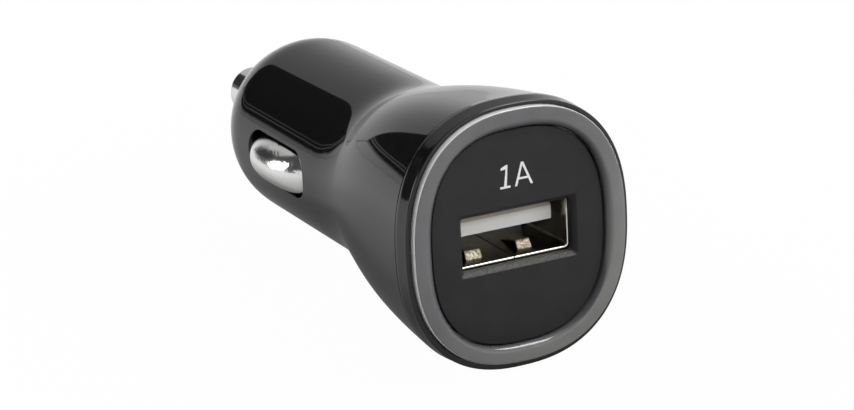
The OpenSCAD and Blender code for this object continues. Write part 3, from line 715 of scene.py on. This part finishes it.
for side in (1, -1):
    loop = patch_loop(side, len(patch_rows))
    count = len(loop)
    outer_loop = [grid["out", outer_patch_start + r, c % COLUMNS] for r, c in loop]
    inner_loop = [grid["in", inner_patch_start + r, c % COLUMNS] for r, c in loop]
    rings = window_rings(side, loop, barrel_radius)
    edge = rings[-1]
    for sink, draw in ((0.02, 0.008), (0.07, 0.014), (0.16, 0.017)):
        rings.append([(side * (abs(x) - sink), y + (WINDOW_Y - y) * draw, z * (1 - 1.6 * draw))
                      for x, y, z in edge])
    last = rings[-1]
    rings.append([(side * math.sqrt(BORE_R ** 2 - z * z), y, z) for _, y, z in last])
    ids = [outer_loop]
    for ring in rings:
        ids.append(list(range(len(points), len(points) + count)))
        points.extend(ring)
    inner_rings = window_rings(side, loop, lambda _: BORE_R)[:4]
    inner_ids = [inner_loop]
    for ring in inner_rings:
        inner_ids.append(list(range(len(points), len(points) + count)))
        points.extend(ring)
    ids += inner_ids[::-1]
    for first, second in zip(ids, ids[1:]):
        for k in range(count):
            m = (k + 1) % count
            quad(first[k], first[m], second[m], second[k], side > 0)

body = make_mesh("body_skin", points, faces, body_gloss.material, 32)
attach(body, "housing")
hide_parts("body_shell")
print("body skin:", len(points), "points")


# %% [markdown]
# ## Rim: a glossy band with a dull front edge
# In front of the crease the head goes on as a separate frame that holds the light
# ring. Its side is as glossy as the body. Its narrow front edge is duller, and the
# small round between the two catches a thin line of light all the way round.

# %% Rim finish and skin
rim_black = Finish("rim_black", ior=1.5)
dull = (0 - rim_black.facing(1)).ramp(0.75, 0.95)
grain = rim_black.noise(0.12, detail=2.0)
rim_black.gives(
    base_color=rim_black.mix(dull, (0.0055, 0.0055, 0.006), (0.009, 0.0088, 0.0084)),
    roughness=0.05 + dull * 0.3,
    normal=rim_black.relief(grain, 0.004, 0.6))

RING_A, RING_B, RING_LIFT = 12.25, 13.7, 0.3
PLATE_A, PLATE_B, PLATE_SQUARE = 9.95, 11.4, 2.6
BAND_BACK = CREASE_Y - 0.04
BAND_DRAFT, RIM_ROUND = 0.14, 0.15     # how far the band narrows to the front, and the round there


def flare_loop(y, inset):
    """A loop inside the flare, this far in from its skin."""
    loop = []
    for k in range(COLUMNS):
        angle = 2 * math.pi * k / COLUMNS
        r = body_radius(angle, y) - inset
        loop.append((r * math.cos(angle), y, r * math.sin(angle)))
    return loop


def head_loop(inset, y):
    return outline(HEAD_A - inset, HEAD_B - inset, SQUARE, y)


def ring_loop(grow, y, square=SQUARE):
    """The light ring's outline. It sits a little high, so the rim's face is wider below it."""
    return [(x, y, z if z > 0 else z * (1 - RING_LIFT / RING_B))
            for x, y, z in outline(RING_A + grow, RING_B + grow, square, y)]


rim_loops = [ring_loop(0.08, RIM_Y + 1.64), ring_loop(0.08, RIM_Y + 0.06),
             ring_loop(0.1, RIM_Y + 0.015), ring_loop(0.15, RIM_Y)]
for i in range(7):
    t = math.pi / 2 * i / 6
    r = RIM_ROUND
    rim_loops.append(head_loop(BAND_DRAFT + r - r * math.sin(t), RIM_Y + r - r * math.cos(t)))
rim_loops += [head_loop(BAND_DRAFT - BAND_DRAFT * i / 5, RIM_Y + 0.3 + 1.8 * i / 5) for i in range(6)]
rim_loops += [head_loop(0.015, BAND_BACK - 0.03), head_loop(0.07, BAND_BACK), head_loop(1.58, BAND_BACK)]
rim_loops += [flare_loop(BAND_BACK + d, 1.6) for d in (0.6, 1.5, 3.0)]
rim_loops += [flare_loop(BAND_BACK + d, 2.55) for d in (3.0, 1.5, 0.6)]
rim_loops += [head_loop(2.58, RIM_Y + 1.64)]
rim = skin("rim_skin", rim_loops, rim_black.material, closed=True, crease_deg=40)
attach(rim, "housing")
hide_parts("front_bezel")
print("rim skin has", len(rim_loops), "loops")

# %% [markdown]
# ## Light ring: smoke-grey and a little milky
# Two small lamps on the board light this ring from behind when the plug has power. Unlit, it is a clear grey
# plastic with enough haze that nothing behind it can be made out. Pure glass would show the dark pocket and turn
# black, so the ring scatters light inside itself and lets only a little through. Its polished outer edge is painted
# nearly white, a painted highlight that stands for the light gathered there, and the slope down to the plate looks
# darker, because there the plastic is thin over the black pocket.

# %% Ring finish
ring_smoke = Finish("ring_smoke", ior=1.58, roughness=0.1, subsurface_weight=0.3,
                    subsurface_radius=(0.0014, 0.0014, 0.0015), subsurface_scale=1.0,
                    transmission_weight=0.12)
ring_normal = [ring_smoke.facing(k) for k in range(3)]
ring_place = [ring_smoke.axis(ring_smoke.place, k) for k in range(3)]
outward = ring_normal[0] * ring_place[0] + ring_normal[2] * ring_place[2]
haze = ring_smoke.noise(5, detail=2.0).ramp(0.3, 0.7)
# Painted light: the grey is paler to the right and towards the bottom.
painted_light_lower_right = (ring_place[0] - ring_place[2]).ramp(-0.004, 0.014)
flat_grey = ring_smoke.mix(painted_light_lower_right, ring_smoke.mix(haze, (0.130, 0.130, 0.134), (0.150, 0.150, 0.155)),
                           ring_smoke.mix(haze, (0.200, 0.198, 0.194), (0.220, 0.218, 0.212)))
slope_grey = ring_smoke.mix(painted_light_lower_right, (0.048, 0.046, 0.054), (0.105, 0.101, 0.107))
below_flat = ring_smoke.mix((0 - outward).ramp(0.001, 0.008), flat_grey, slope_grey)
# Painted highlight: on the outer edge, where the surface faces outwards, the colour is nearly white.
ring_smoke.gives(base_color=ring_smoke.mix(outward.ramp(0.008, 0.0115), below_flat, (0.80, 0.80, 0.80)),
                 normal=ring_smoke.relief(ring_smoke.noise(3, detail=1.0), 0.005))
print("made", ring_smoke.material.name)

# %% Ring skin
RING_FRONT, RING_BACK = RIM_Y - 0.7, RIM_Y + 1.6
ring_loops = [ring_loop(0, RING_BACK), ring_loop(0, RING_FRONT + 0.3)]
EDGE_R = 0.17
for i in range(8):
    t = math.pi / 2 * i / 7
    ring_loops.append(ring_loop(EDGE_R * (math.cos(t) - 1), RING_FRONT + EDGE_R * (1 - math.sin(t))))
SLOPE = 1.2                            # from the outer edge to where the slope begins
INNER_A, INNER_B = PLATE_A + 0.16, PLATE_B + 0.16
flat_loop, inner_loop = ring_loop(-SLOPE, 0), outline(INNER_A, INNER_B, PLATE_SQUARE, 0)
for i in range(17):
    t = math.pi / 2 * i / 16
    across_slope, down_slope = math.sin(t), 1 - math.cos(t)
    ring_loops.append([(x0 + (x1 - x0) * across_slope,
                        RING_FRONT + 0.7 * down_slope,
                        z0 + (z1 - z0) * across_slope)
                       for (x0, _, z0), (x1, _, z1) in zip(flat_loop, inner_loop)])
ring_loops += [outline(INNER_A, INNER_B, PLATE_SQUARE, RIM_Y + 1.1),
               outline(INNER_A - 1.1, INNER_B - 1.1, PLATE_SQUARE, RIM_Y + 1.1),
               outline(INNER_A - 1.1, INNER_B - 1.1, PLATE_SQUARE, RING_BACK)]
light_ring = skin("light_ring_skin", ring_loops, ring_smoke.material, closed=True, crease_deg=40)
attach(light_ring, "housing")
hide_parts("light_ring")
print("ring skin has", len(ring_loops), "loops")

# %% [markdown]
# ## Face plate: fine matt black round the socket
# The plate's tool was etched, so its surface is a fine even grain that scatters the light. The grain is a bump
# about a tenth of a millimetre wide. The opening for the socket has a bevel that is smoother than the face, and
# where the bevel faces up it is painted paler, a painted light. The plate is one flat ring of faces between the
# opening and the edge.

# %% Plate finish and skin
plate_matte = Finish("plate_matte", ior=1.5, specular_ior_level=0.3)
plate_grain = plate_matte.noise(0.16, detail=3.0, rough=0.6)
plate_mottle = plate_matte.noise(3.5, detail=3.0)
# Painted light: the bevels that face up are paler, in specks that follow the grain.
painted_light_on_bevels = plate_matte.facing(2).ramp(0.3, 0.6) * plate_grain.ramp(0.35, 0.6)
plate_black = plate_matte.mix(plate_mottle.ramp(0.35, 0.65), (0.0150, 0.0146, 0.0147), (0.0175, 0.0170, 0.0172))
plate_matte.gives(
    base_color=plate_matte.mix(painted_light_on_bevels, plate_black, (0.075, 0.072, 0.068)),
    roughness=0.48 + plate_grain * 0.12,
    normal=plate_matte.relief(plate_grain, 0.018, 0.8))

MOUTH_X, MOUTH_Z, BEVEL, MOUTH_CORNER = 6.38, 2.89, 0.45, 0.3


def box_loop(half_x, half_z, corner, y, angles):
    """A rectangle with round corners, met by rays at these angles."""
    loop = []
    for angle in angles:
        x, z = rounded_box_hit(math.cos(angle) * 8, math.sin(angle) * 8, half_x, half_z, corner)
        loop.append((x, y, z))
    return loop


def oval_loop(a, b, n, y, angles):
    loop = []
    for angle in angles:
        r = (abs(math.cos(angle) / a) ** n + abs(math.sin(angle) / b) ** n) ** (-1 / n)
        loop.append((r * math.cos(angle), y, r * math.sin(angle)))
    return loop


corner_angle = math.atan2(MOUTH_Z, MOUTH_X)
plate_angles = sorted(
    [2 * math.pi * k / 240 for k in range(240)]
    + [base + sign * corner_angle + d for base in (0, math.pi) for sign in (1, -1)
       for d in (-0.035, -0.02, -0.01, 0.003, 0.011, 0.023)])
plate_angles = sorted(a % (2 * math.pi) for a in plate_angles)
plate_loops = []
for i in range(5):
    t = math.pi / 2 * i / 4
    r = 0.12
    plate_loops.append(oval_loop(PLATE_A - r + r * math.sin(t), PLATE_B - r + r * math.sin(t),
                                 PLATE_SQUARE, RIM_Y + r - r * math.cos(t), plate_angles))
plate_loops.append(oval_loop(PLATE_A, PLATE_B, PLATE_SQUARE, RIM_Y + 1.08, plate_angles))
plate_loops.append(box_loop(MOUTH_X, MOUTH_Z, MOUTH_CORNER, RIM_Y + 1.08, plate_angles))
plate_loops.append(box_loop(MOUTH_X, MOUTH_Z, MOUTH_CORNER, RIM_Y + BEVEL + 0.03, plate_angles))
plate_loops.append(box_loop(MOUTH_X + 0.03, MOUTH_Z + 0.03, MOUTH_CORNER, RIM_Y + BEVEL - 0.03, plate_angles))
plate_loops.append(box_loop(MOUTH_X + BEVEL - 0.03, MOUTH_Z + BEVEL - 0.03, MOUTH_CORNER,
                            RIM_Y + 0.03, plate_angles))
plate_loops.append(box_loop(MOUTH_X + BEVEL + 0.03, MOUTH_Z + BEVEL + 0.03, MOUTH_CORNER, RIM_Y, plate_angles))
plate_loops.append(oval_loop(PLATE_A - 2.2, PLATE_B - 2.2, PLATE_SQUARE, RIM_Y, plate_angles))
plate = skin("plate_skin", plate_loops, plate_matte.material, closed=True, crease_deg=24)
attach(plate, "housing")
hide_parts("face_plate")
print("plate skin has", len(plate_loops), "loops of", len(plate_angles))


# %% [markdown]
# ## Rating mark on the plate
# A small pale "1A" stands above the socket, the current that the socket gives. It
# is generic lettering, printed in fine strokes. A text object would bring its own
# font, so the two signs are drawn from flat pieces that share their corners, a few
# thousandths of a millimetre proud of the plate.

# %% Rating mark
mark_ink = Finish("mark_ink", ior=1.45)
wear = mark_ink.noise(0.25, detail=3.0).ramp(0.25, 0.75)
mark_ink.gives(base_color=mark_ink.mix(wear, (0.70, 0.70, 0.70), (0.84, 0.84, 0.84)),
               roughness=0.6 - wear * 0.1)

# Corners in millimetres on the plate, then the flat pieces that share them
MARK_ONE = [(-1.51, 5.35), (-1.19, 5.35), (-1.00, 7.80), (-1.20, 7.80), (-1.24, 7.36),
            (-1.82, 7.32), (-1.78, 7.56), (-1.93, 5.35), (-1.93, 5.58), (-1.49, 5.58), (-1.17, 5.58), (-0.75, 5.58),
            (-0.75, 5.35)]
ONE_PIECES = [(9, 10, 2, 3, 4), (4, 3, 6, 5), (7, 0, 1, 12, 11, 10, 9, 8)]
MARK_A = [(-0.24, 5.36), (0.54, 7.84), (0.82, 7.84), (1.86, 5.36), (1.59, 5.36), (1.32, 6.01), (0.23, 6.01),
          (0.03, 5.36), (0.31, 6.24), (1.22, 6.24), (0.68, 7.52), (-0.04, 6.01), (0.04, 6.24), (1.58, 6.01),
          (1.49, 6.24)]
A_PIECES = [(0, 7, 6, 11), (11, 6, 8, 12), (12, 8, 10, 1), (1, 10, 2), (2, 10, 9, 14), (14, 9, 5, 13),
            (13, 5, 4, 3), (6, 5, 9, 8)]


def raised_shape(corners, pieces, points, faces):
    """Flat pieces with shared corners, a little thick, with walls where a piece ends."""
    base, count = len(points), len(corners)
    for y in (RIM_Y - 0.006, RIM_Y + 0.01):
        points += [(x, y, z) for x, z in corners]
    borders = [(piece[k], piece[(k + 1) % len(piece)]) for piece in pieces for k in range(len(piece))]
    for piece in pieces:
        faces.append(tuple(base + i for i in piece))
        faces.append(tuple(base + count + i for i in reversed(piece)))
    faces += [(base + b, base + a, base + count + a, base + count + b)
              for a, b in borders if (b, a) not in borders]


mark_points, mark_faces = [], []
raised_shape(MARK_ONE, ONE_PIECES, mark_points, mark_faces)
raised_shape(MARK_A, A_PIECES, mark_points, mark_faces)
mark = make_mesh("rating_mark", mark_points, mark_faces, mark_ink.material, 20)
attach(mark, "housing")
print("mark drawn with", len(ONE_PIECES) + len(A_PIECES), "flat pieces")

# %% [markdown]
# ## Ground clips: pressed and chromed spring sheet
# Each clip is one strip of sheet with a domed bump that stands out of a window.
# The gloss on it runs from white to black across two millimetres, so its curve
# has to be right: a strip is swept along the dome's side view, widens with it, and
# falls off across the width. The finish is chrome with fine marks of the press.

# %% Chrome finish
chrome = Finish("chrome", metallic=1.0)
press_marks = chrome.noise(0.34, detail=1.5)
scuffs = chrome.noise(1.1, detail=4.0, rough=0.7).ramp(0.55, 0.8)
chrome.gives(base_color=chrome.mix(scuffs, (0.86, 0.86, 0.85), (0.76, 0.75, 0.73)),
             roughness=0.17 + scuffs * 0.08,
             normal=chrome.relief(press_marks, 0.032, 1.0))

# %% Clip skins
CLIP_T, DOME_LEN, DOME_W, END_W, LEAF_W, LEAF_ROOT = 0.35, 13.6, 5.2, 1.6, 3.6, -1.5
LEAF_X = math.sqrt(BORE_R ** 2 - (DOME_W / 2) ** 2) - 0.16
DOME_H = 12.25 - LEAF_X                # the dome's peak stands 1.9 mm out of the barrel
CROWN, FAR_CROWN = 1.15, 3.4           # fall across the dome near the mouth, and at its rounder far end
EDGE_FULL = 9                          # how late the dome's sides turn down


def arch(u, power):
    """1 in the middle and 0 at both ends, rounder for a low power and fuller for a high one."""
    return max(0, 1 - abs(u) ** power) ** (1 / power)


# Each station: place along the strip, height over the leaf, half width, how far the inside is narrower
clip_line = [(-3.0, 0, LEAF_W / 2, 0), (0.0, 0, LEAF_W / 2, 0),
             (WINDOW_Y - DOME_LEN / 2 - 1.0, 0, END_W / 2, 0)]
for i in range(97):
    u = -math.cos(math.pi * i / 96)
    clip_line.append((WINDOW_Y + DOME_LEN / 2 * u, DOME_H * arch(u, 2.2),
                      (END_W + (DOME_W - END_W) * arch(u, 2.2 if u > 0 else 3)) / 2, CLIP_T))
clip_line.append((WINDOW_Y + DOME_LEN / 2 + 1.3, 0, END_W / 2, 0))


def clip_skin(name, side):
    loops = []
    for i, (y, height, half, inset) in enumerate(clip_line):
        ya, ha = clip_line[max(0, i - 1)][:2]
        yb, hb = clip_line[min(len(clip_line) - 1, i + 1)][:2]
        run = math.hypot(yb - ya, hb - ha)
        along_y, along_x = (yb - ya) / run, (hb - ha) / run
        widths = [math.cos(math.pi * k / 40) for k in range(41)]
        roundness = min(1, max(0, ((y - WINDOW_Y) / (DOME_LEN / 2) + 1.0) / 0.9))
        falls = [height / DOME_H * (CROWN * abs(v) ** 1.7 * (1 - roundness)
                                    + FAR_CROWN * (1 - math.sqrt(1 - (0.98 * v) ** 2)) * roundness)
                 for v in widths]
        heights = [LEAF_X + arch(v, EDGE_FULL) * (height - fall) for v, fall in zip(widths, falls)]
        loop = [(side * x, y, v * half) for v, x in zip(widths, heights)]
        loop += [(side * (x - CLIP_T * along_y), y + CLIP_T * along_x, v * (half - inset))
                 for v, x in reversed(list(zip(widths, heights)))]
        loops.append(loop)
    strip = skin(name, loops, chrome.material, ends=(True, True), crease_deg=40)
    # The foot and the rolled edge stay as the solids have them: one loft each
    foot = [(LEAF_X - 1.6, -2.85), (LEAF_X + 0.08, -2.85), (LEAF_X + 0.08, -0.9), (LEAF_X - 0.43, -0.9),
            (LEAF_X - 0.43, -2.5), (LEAF_X - 1.6, -2.5)]
    foot_loops = [[(side * x, y, z) for x, z in foot] for y in (LEAF_ROOT - 1.58, LEAF_ROOT + 1.42)]
    foot_skin = skin(name + "_foot", foot_loops, chrome.material, ends=(True, True))
    roll_loops = [[(side * (LEAF_X - 0.5 + 0.5 * math.cos(math.pi * k / 18)),
                    LEAF_ROOT + 0.5 * math.sin(math.pi * k / 18), z) for k in range(36)]
                  for z in (-LEAF_W / 2, LEAF_W / 2)]
    roll_skin = skin(name + "_roll", roll_loops, chrome.material, ends=(True, True))
    return strip, foot_skin, roll_skin


for side, body_name, node_name in ((-1, "clip_left", "ground_clip_left"),
                                   (1, "clip_right", "ground_clip_right")):
    for piece in clip_skin(body_name + "_skin", side):
        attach(piece, body_name)
        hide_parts(node_name)
print("clip's dome stands", round(LEAF_X + DOME_H - BARREL_R, 2), "mm out of the barrel")

# %% [markdown]
# ## Centre pin: turned brass under chrome
# The pin is a short turned cylinder with a rounded edge. A lathe leaves rings that
# are too fine to count but stretch each highlight round the pin, so the bump is
# noise squeezed along the axis. The skin is a profile spun round the axis.

# %% Pin finish and skin
pin_chrome = Finish("pin_chrome", metallic=1.0)
turning = pin_chrome.noise(0.1, detail=2.0, stretch=(60, 1, 60))
pin_chrome.gives(base_color=pin_chrome.mix(pin_chrome.noise(1.5, detail=3.0).ramp(0.5, 0.8),
                                           (0.86, 0.85, 0.84), (0.76, 0.74, 0.71)),
                 roughness=0.08 + turning * 0.06, normal=pin_chrome.relief(turning, 0.003, 0.8))

PIN_R, PIN_END, FLANGE_Y = 2.9, 45.4, 34.8
pin_profile = [(0.001, FLANGE_Y - 1.6), (1.6, FLANGE_Y - 1.6), (1.6, FLANGE_Y), (3.7, FLANGE_Y), (3.7, 35.92),
               (2.94, 35.92), (2.94, 38.2), (PIN_R, 38.24), (PIN_R, PIN_END - 0.52)]
for i in range(13):
    t = math.pi / 2 * i / 12
    pin_profile.append((PIN_R - 0.5 + 0.5 * math.cos(t), PIN_END - 0.5 + 0.5 * math.sin(t)))
pin_profile.append((0.001, PIN_END))
pin_loops = [[(r * math.cos(2 * math.pi * k / 144), y, r * math.sin(2 * math.pi * k / 144)) for k in range(144)]
             for r, y in pin_profile]
pin = skin("centre_pin_skin", pin_loops, pin_chrome.material, ends=(True, True), crease_deg=35)
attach(pin, "pin")
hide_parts("centre_pin")
print("pin ends at", PIN_END)


# %% [markdown]
# ## The socket's shell
# The shell is nickelled sheet, bent into a box that is left open along one seam in its floor. Its cut front edge is
# slightly rounded and painted a bright nickel, a painted highlight, while its inside and its top are painted a dark
# brownish grey, a painted shade, so the colour changes with the depth and the height. Two spring fingers are
# pressed up out of the floor: seen from the front, each is a steep little ramp. A cube with a hole would have no
# seam and no round edge, so the section is drawn as a C and pushed along the socket.

# %% Shell finish
shell_nickel = Finish("shell_nickel", metallic=1.0)
rolling = shell_nickel.noise(0.08, detail=3.0, stretch=(1, 40, 1))
tarnish = shell_nickel.noise(1.6, detail=4.0).ramp(0.45, 0.75)
shell_depth = shell_nickel.axis(shell_nickel.place, 1)
shell_height = shell_nickel.axis(shell_nickel.place, 2)
# Painted shade: the shell is dark inside and along its top, and bright only at its front edge as a painted
# highlight.
painted_shade_inside = (shell_depth.ramp((SHELL_FRONT + 0.1) * MM, (SHELL_FRONT + 0.4) * MM)
           .at_least(shell_height.ramp(1.0 * MM, 2.2 * MM)))
shell_nickel.gives(
    base_color=shell_nickel.mix(painted_shade_inside, (0.93, 0.90, 0.84), shell_nickel.mix(tarnish, (0.30, 0.28, 0.25),
                                                                              (0.20, 0.175, 0.14))),
    roughness=0.16 + rolling * 0.1, normal=shell_nickel.relief(rolling, 0.004, 0.7))

finger_nickel = Finish("finger_nickel", metallic=1.0)
worn = finger_nickel.noise(0.2, detail=2.0).ramp(0.35, 0.65)
finger_nickel.gives(base_color=finger_nickel.mix(worn, (0.47, 0.41, 0.33), (0.20, 0.165, 0.12)),
                    roughness=0.3 + worn * 0.15, normal=finger_nickel.relief(worn, 0.008, 0.8))
print("made", shell_nickel.material.name, "and", finger_nickel.material.name)

# %% Shell skin
SHELL_W, SHELL_H, SHELL_T, SHELL_LEN, SEAM = 13.1, 5.7, 0.3, 14.0, 0.15
OUTER_BEND, INNER_BEND = 0.5, 0.35


def shell_path(half_w, half_h, bend):
    """From the seam round the shell and back to it, as (x, z)."""
    path = [(SEAM / 2, -half_h)]
    for sign_x, sign_z, start in ((1, -1, -90), (1, 1, 0), (-1, 1, 90), (-1, -1, 180)):
        for k in range(7):
            turned = math.radians(start + 15 * k)
            path.append((sign_x * (half_w - bend) + bend * math.cos(turned),
                         sign_z * (half_h - bend) + bend * math.sin(turned)))
    return path + [(-SEAM / 2, -half_h)]


shell_loops = []
for y, pinch in ((SHELL_FRONT, 0.1), (SHELL_FRONT + 0.02, 0.045), (SHELL_FRONT + 0.06, 0.015),
                 (SHELL_FRONT + 0.12, 0), (SHELL_FRONT + 0.4, 0), (SHELL_FRONT + SHELL_LEN, 0)):
    outer = shell_path(SHELL_W / 2 - pinch, SHELL_H / 2 - pinch, OUTER_BEND)
    inner = shell_path(SHELL_W / 2 - SHELL_T + pinch, SHELL_H / 2 - SHELL_T + pinch, INNER_BEND)
    shell_loops.append([(x, y, z) for x, z in outer + inner[::-1]])
shell_points = [p for loop in shell_loops for p in loop]
around, half_way = len(shell_loops[0]), len(shell_loops[0]) // 2
shell_faces = [face for i in range(len(shell_loops) - 1) for face in band(i * around, (i + 1) * around, around)]
for base in (0, (len(shell_loops) - 1) * around):
    shell_faces += [(base + k, base + k + 1, base + around - 2 - k, base + around - 1 - k)
                    for k in range(half_way - 1)]
shell = make_mesh("usb_shell_skin", shell_points, shell_faces, shell_nickel.material, 35)

FINGER_SIDE = [(-19.12, -2.56), (-18.68, -1.78), (-18.52, -1.66), (-18.20, -1.66), (-15.4, -2.40),
               (-15.4, -2.56), (-18.15, -1.86), (-18.46, -1.88), (-18.84, -2.56)]
fingers = [skin("usb_finger_" + name, [[(x, y, z) for y, z in FINGER_SIDE] for x in edges],
                finger_nickel.material, ends=(True, True), crease_deg=25)
           for name, edges in (("left", (-4.66, -2.86)), ("right", (1.36, 2.94)))]
for piece in [shell] + fingers:
    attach(piece, "housing")
    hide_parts("usb_shell")
print("shell skin:", len(shell_points), "points, and", len(fingers), "fingers")

# %% [markdown]
# ## Tongue and contacts
# These are straight pieces, so their solids already have the right shape and only need a finish. The tongue is
# white plastic that lets a little light into itself, and it turns a darker brown towards its top, a painted shade.
# The contacts are gold over nickel.

# %% Finishes for the tongue and the contacts
tongue_white = Finish("tongue_white", ior=1.46, subsurface_weight=0.15,
                      subsurface_radius=(0.0008, 0.0007, 0.0006), subsurface_scale=1.0)
flow = tongue_white.noise(2.5, detail=2.0)
tongue_height = tongue_white.axis(tongue_white.place, 2)
# Painted shade: the white darkens to brown towards the tongue's top.
painted_shade_top = tongue_white.mix(flow.ramp(0.3, 0.7), (0.50, 0.46, 0.38), (0.55, 0.51, 0.43))
unshaded_white = tongue_white.mix(flow.ramp(0.3, 0.7), (0.84, 0.84, 0.81), (0.88, 0.88, 0.85))
tongue_white.gives(base_color=tongue_white.mix(tongue_height.ramp(0.8 * MM, 1.9 * MM), unshaded_white, painted_shade_top),
                   roughness=0.34 + flow * 0.1,
                   normal=tongue_white.relief(tongue_white.noise(0.2, detail=2.0), 0.004, 0.5))

contact_gold = Finish("contact_gold", metallic=1.0)
gold_marks = contact_gold.noise(0.1, detail=2.0, stretch=(1, 12, 1))
contact_gold.gives(base_color=contact_gold.mix(gold_marks, (0.83, 0.62, 0.28), (0.88, 0.70, 0.36)),
                   roughness=0.18 + gold_marks * 0.15, normal=contact_gold.relief(gold_marks, 0.003, 0.6))


def finish_node(node_name, finish):
    """Gives a solid that stays in view its finish."""
    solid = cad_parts[node_name]
    solid.data.materials.clear()
    solid.data.materials.append(finish.material)


finish_node("usb_tongue", tongue_white)
for number in range(1, 5):
    finish_node(f"usb_contact_{number}", contact_gold)
print("socket has its finishes")

# %% [markdown]
# ## Inside: board, converter and spring
# The windows and the socket let the eye in a little way, and a reader may open
# the model. Every inner solid gets its own small recipe of two tones, a grain and
# a roughness. One function takes those numbers, because the recipes differ only in
# them.

# %% Finishes for the inner pieces
def inner_finish(name, dark, pale, size_mm, rough, depth_mm=0.004, metallic=0.0, stretch=(1, 1, 1)):
    finish = Finish(name, metallic=metallic)
    cloud = finish.noise(size_mm, detail=3.0, stretch=stretch)
    return finish.gives(base_color=finish.mix(cloud.ramp(0.3, 0.7), dark, pale),
                        roughness=rough + cloud * 0.15, normal=finish.relief(cloud, depth_mm, 0.6))


inner_finishes = {
    "circuit_board": inner_finish("board_green", (0.012, 0.075, 0.035), (0.02, 0.11, 0.05), 1.2, 0.3),
    "converter_chip": inner_finish("chip_black", (0.012, 0.012, 0.012), (0.022, 0.022, 0.022), 0.15, 0.5),
    "rectifier_diode": inner_finish("diode_black", (0.015, 0.015, 0.015), (0.025, 0.025, 0.025), 0.2, 0.5),
    "inductor_core": inner_finish("ferrite", (0.03, 0.03, 0.032), (0.055, 0.055, 0.058), 0.25, 0.55, 0.01),
    "inductor_winding": inner_finish("copper", (0.55, 0.22, 0.09), (0.70, 0.32, 0.14), 0.3, 0.2, metallic=1.0),
    "input_capacitor": inner_finish("input_sleeve", (0.008, 0.01, 0.05), (0.012, 0.016, 0.07), 2.0, 0.25),
    "output_capacitor": inner_finish("output_sleeve", (0.008, 0.01, 0.05), (0.012, 0.016, 0.07), 1.6, 0.25),
    "chip_resistors": inner_finish("resistor_black", (0.01, 0.01, 0.01), (0.03, 0.03, 0.03), 0.3, 0.4),
    "chip_capacitors": inner_finish("ceramic_tan", (0.30, 0.19, 0.10), (0.40, 0.27, 0.15), 0.3, 0.4),
    "pico_fuse": inner_finish("fuse_ceramic", (0.55, 0.53, 0.46), (0.66, 0.64, 0.58), 0.5, 0.4),
    "ring_leds": inner_finish("lamp_body", (0.74, 0.72, 0.55), (0.82, 0.80, 0.66), 0.5, 0.3),
    "pin_spring": inner_finish("spring_steel", (0.50, 0.50, 0.48), (0.62, 0.62, 0.60), 0.2, 0.25, metallic=1.0),
    "pin_contact": inner_finish("cup_brass", (0.62, 0.50, 0.27), (0.74, 0.62, 0.38), 0.4, 0.28, metallic=1.0),
}
for node_name, finish in inner_finishes.items():
    finish_node(node_name, finish)
print(len(inner_finishes), "inner solids have finishes")
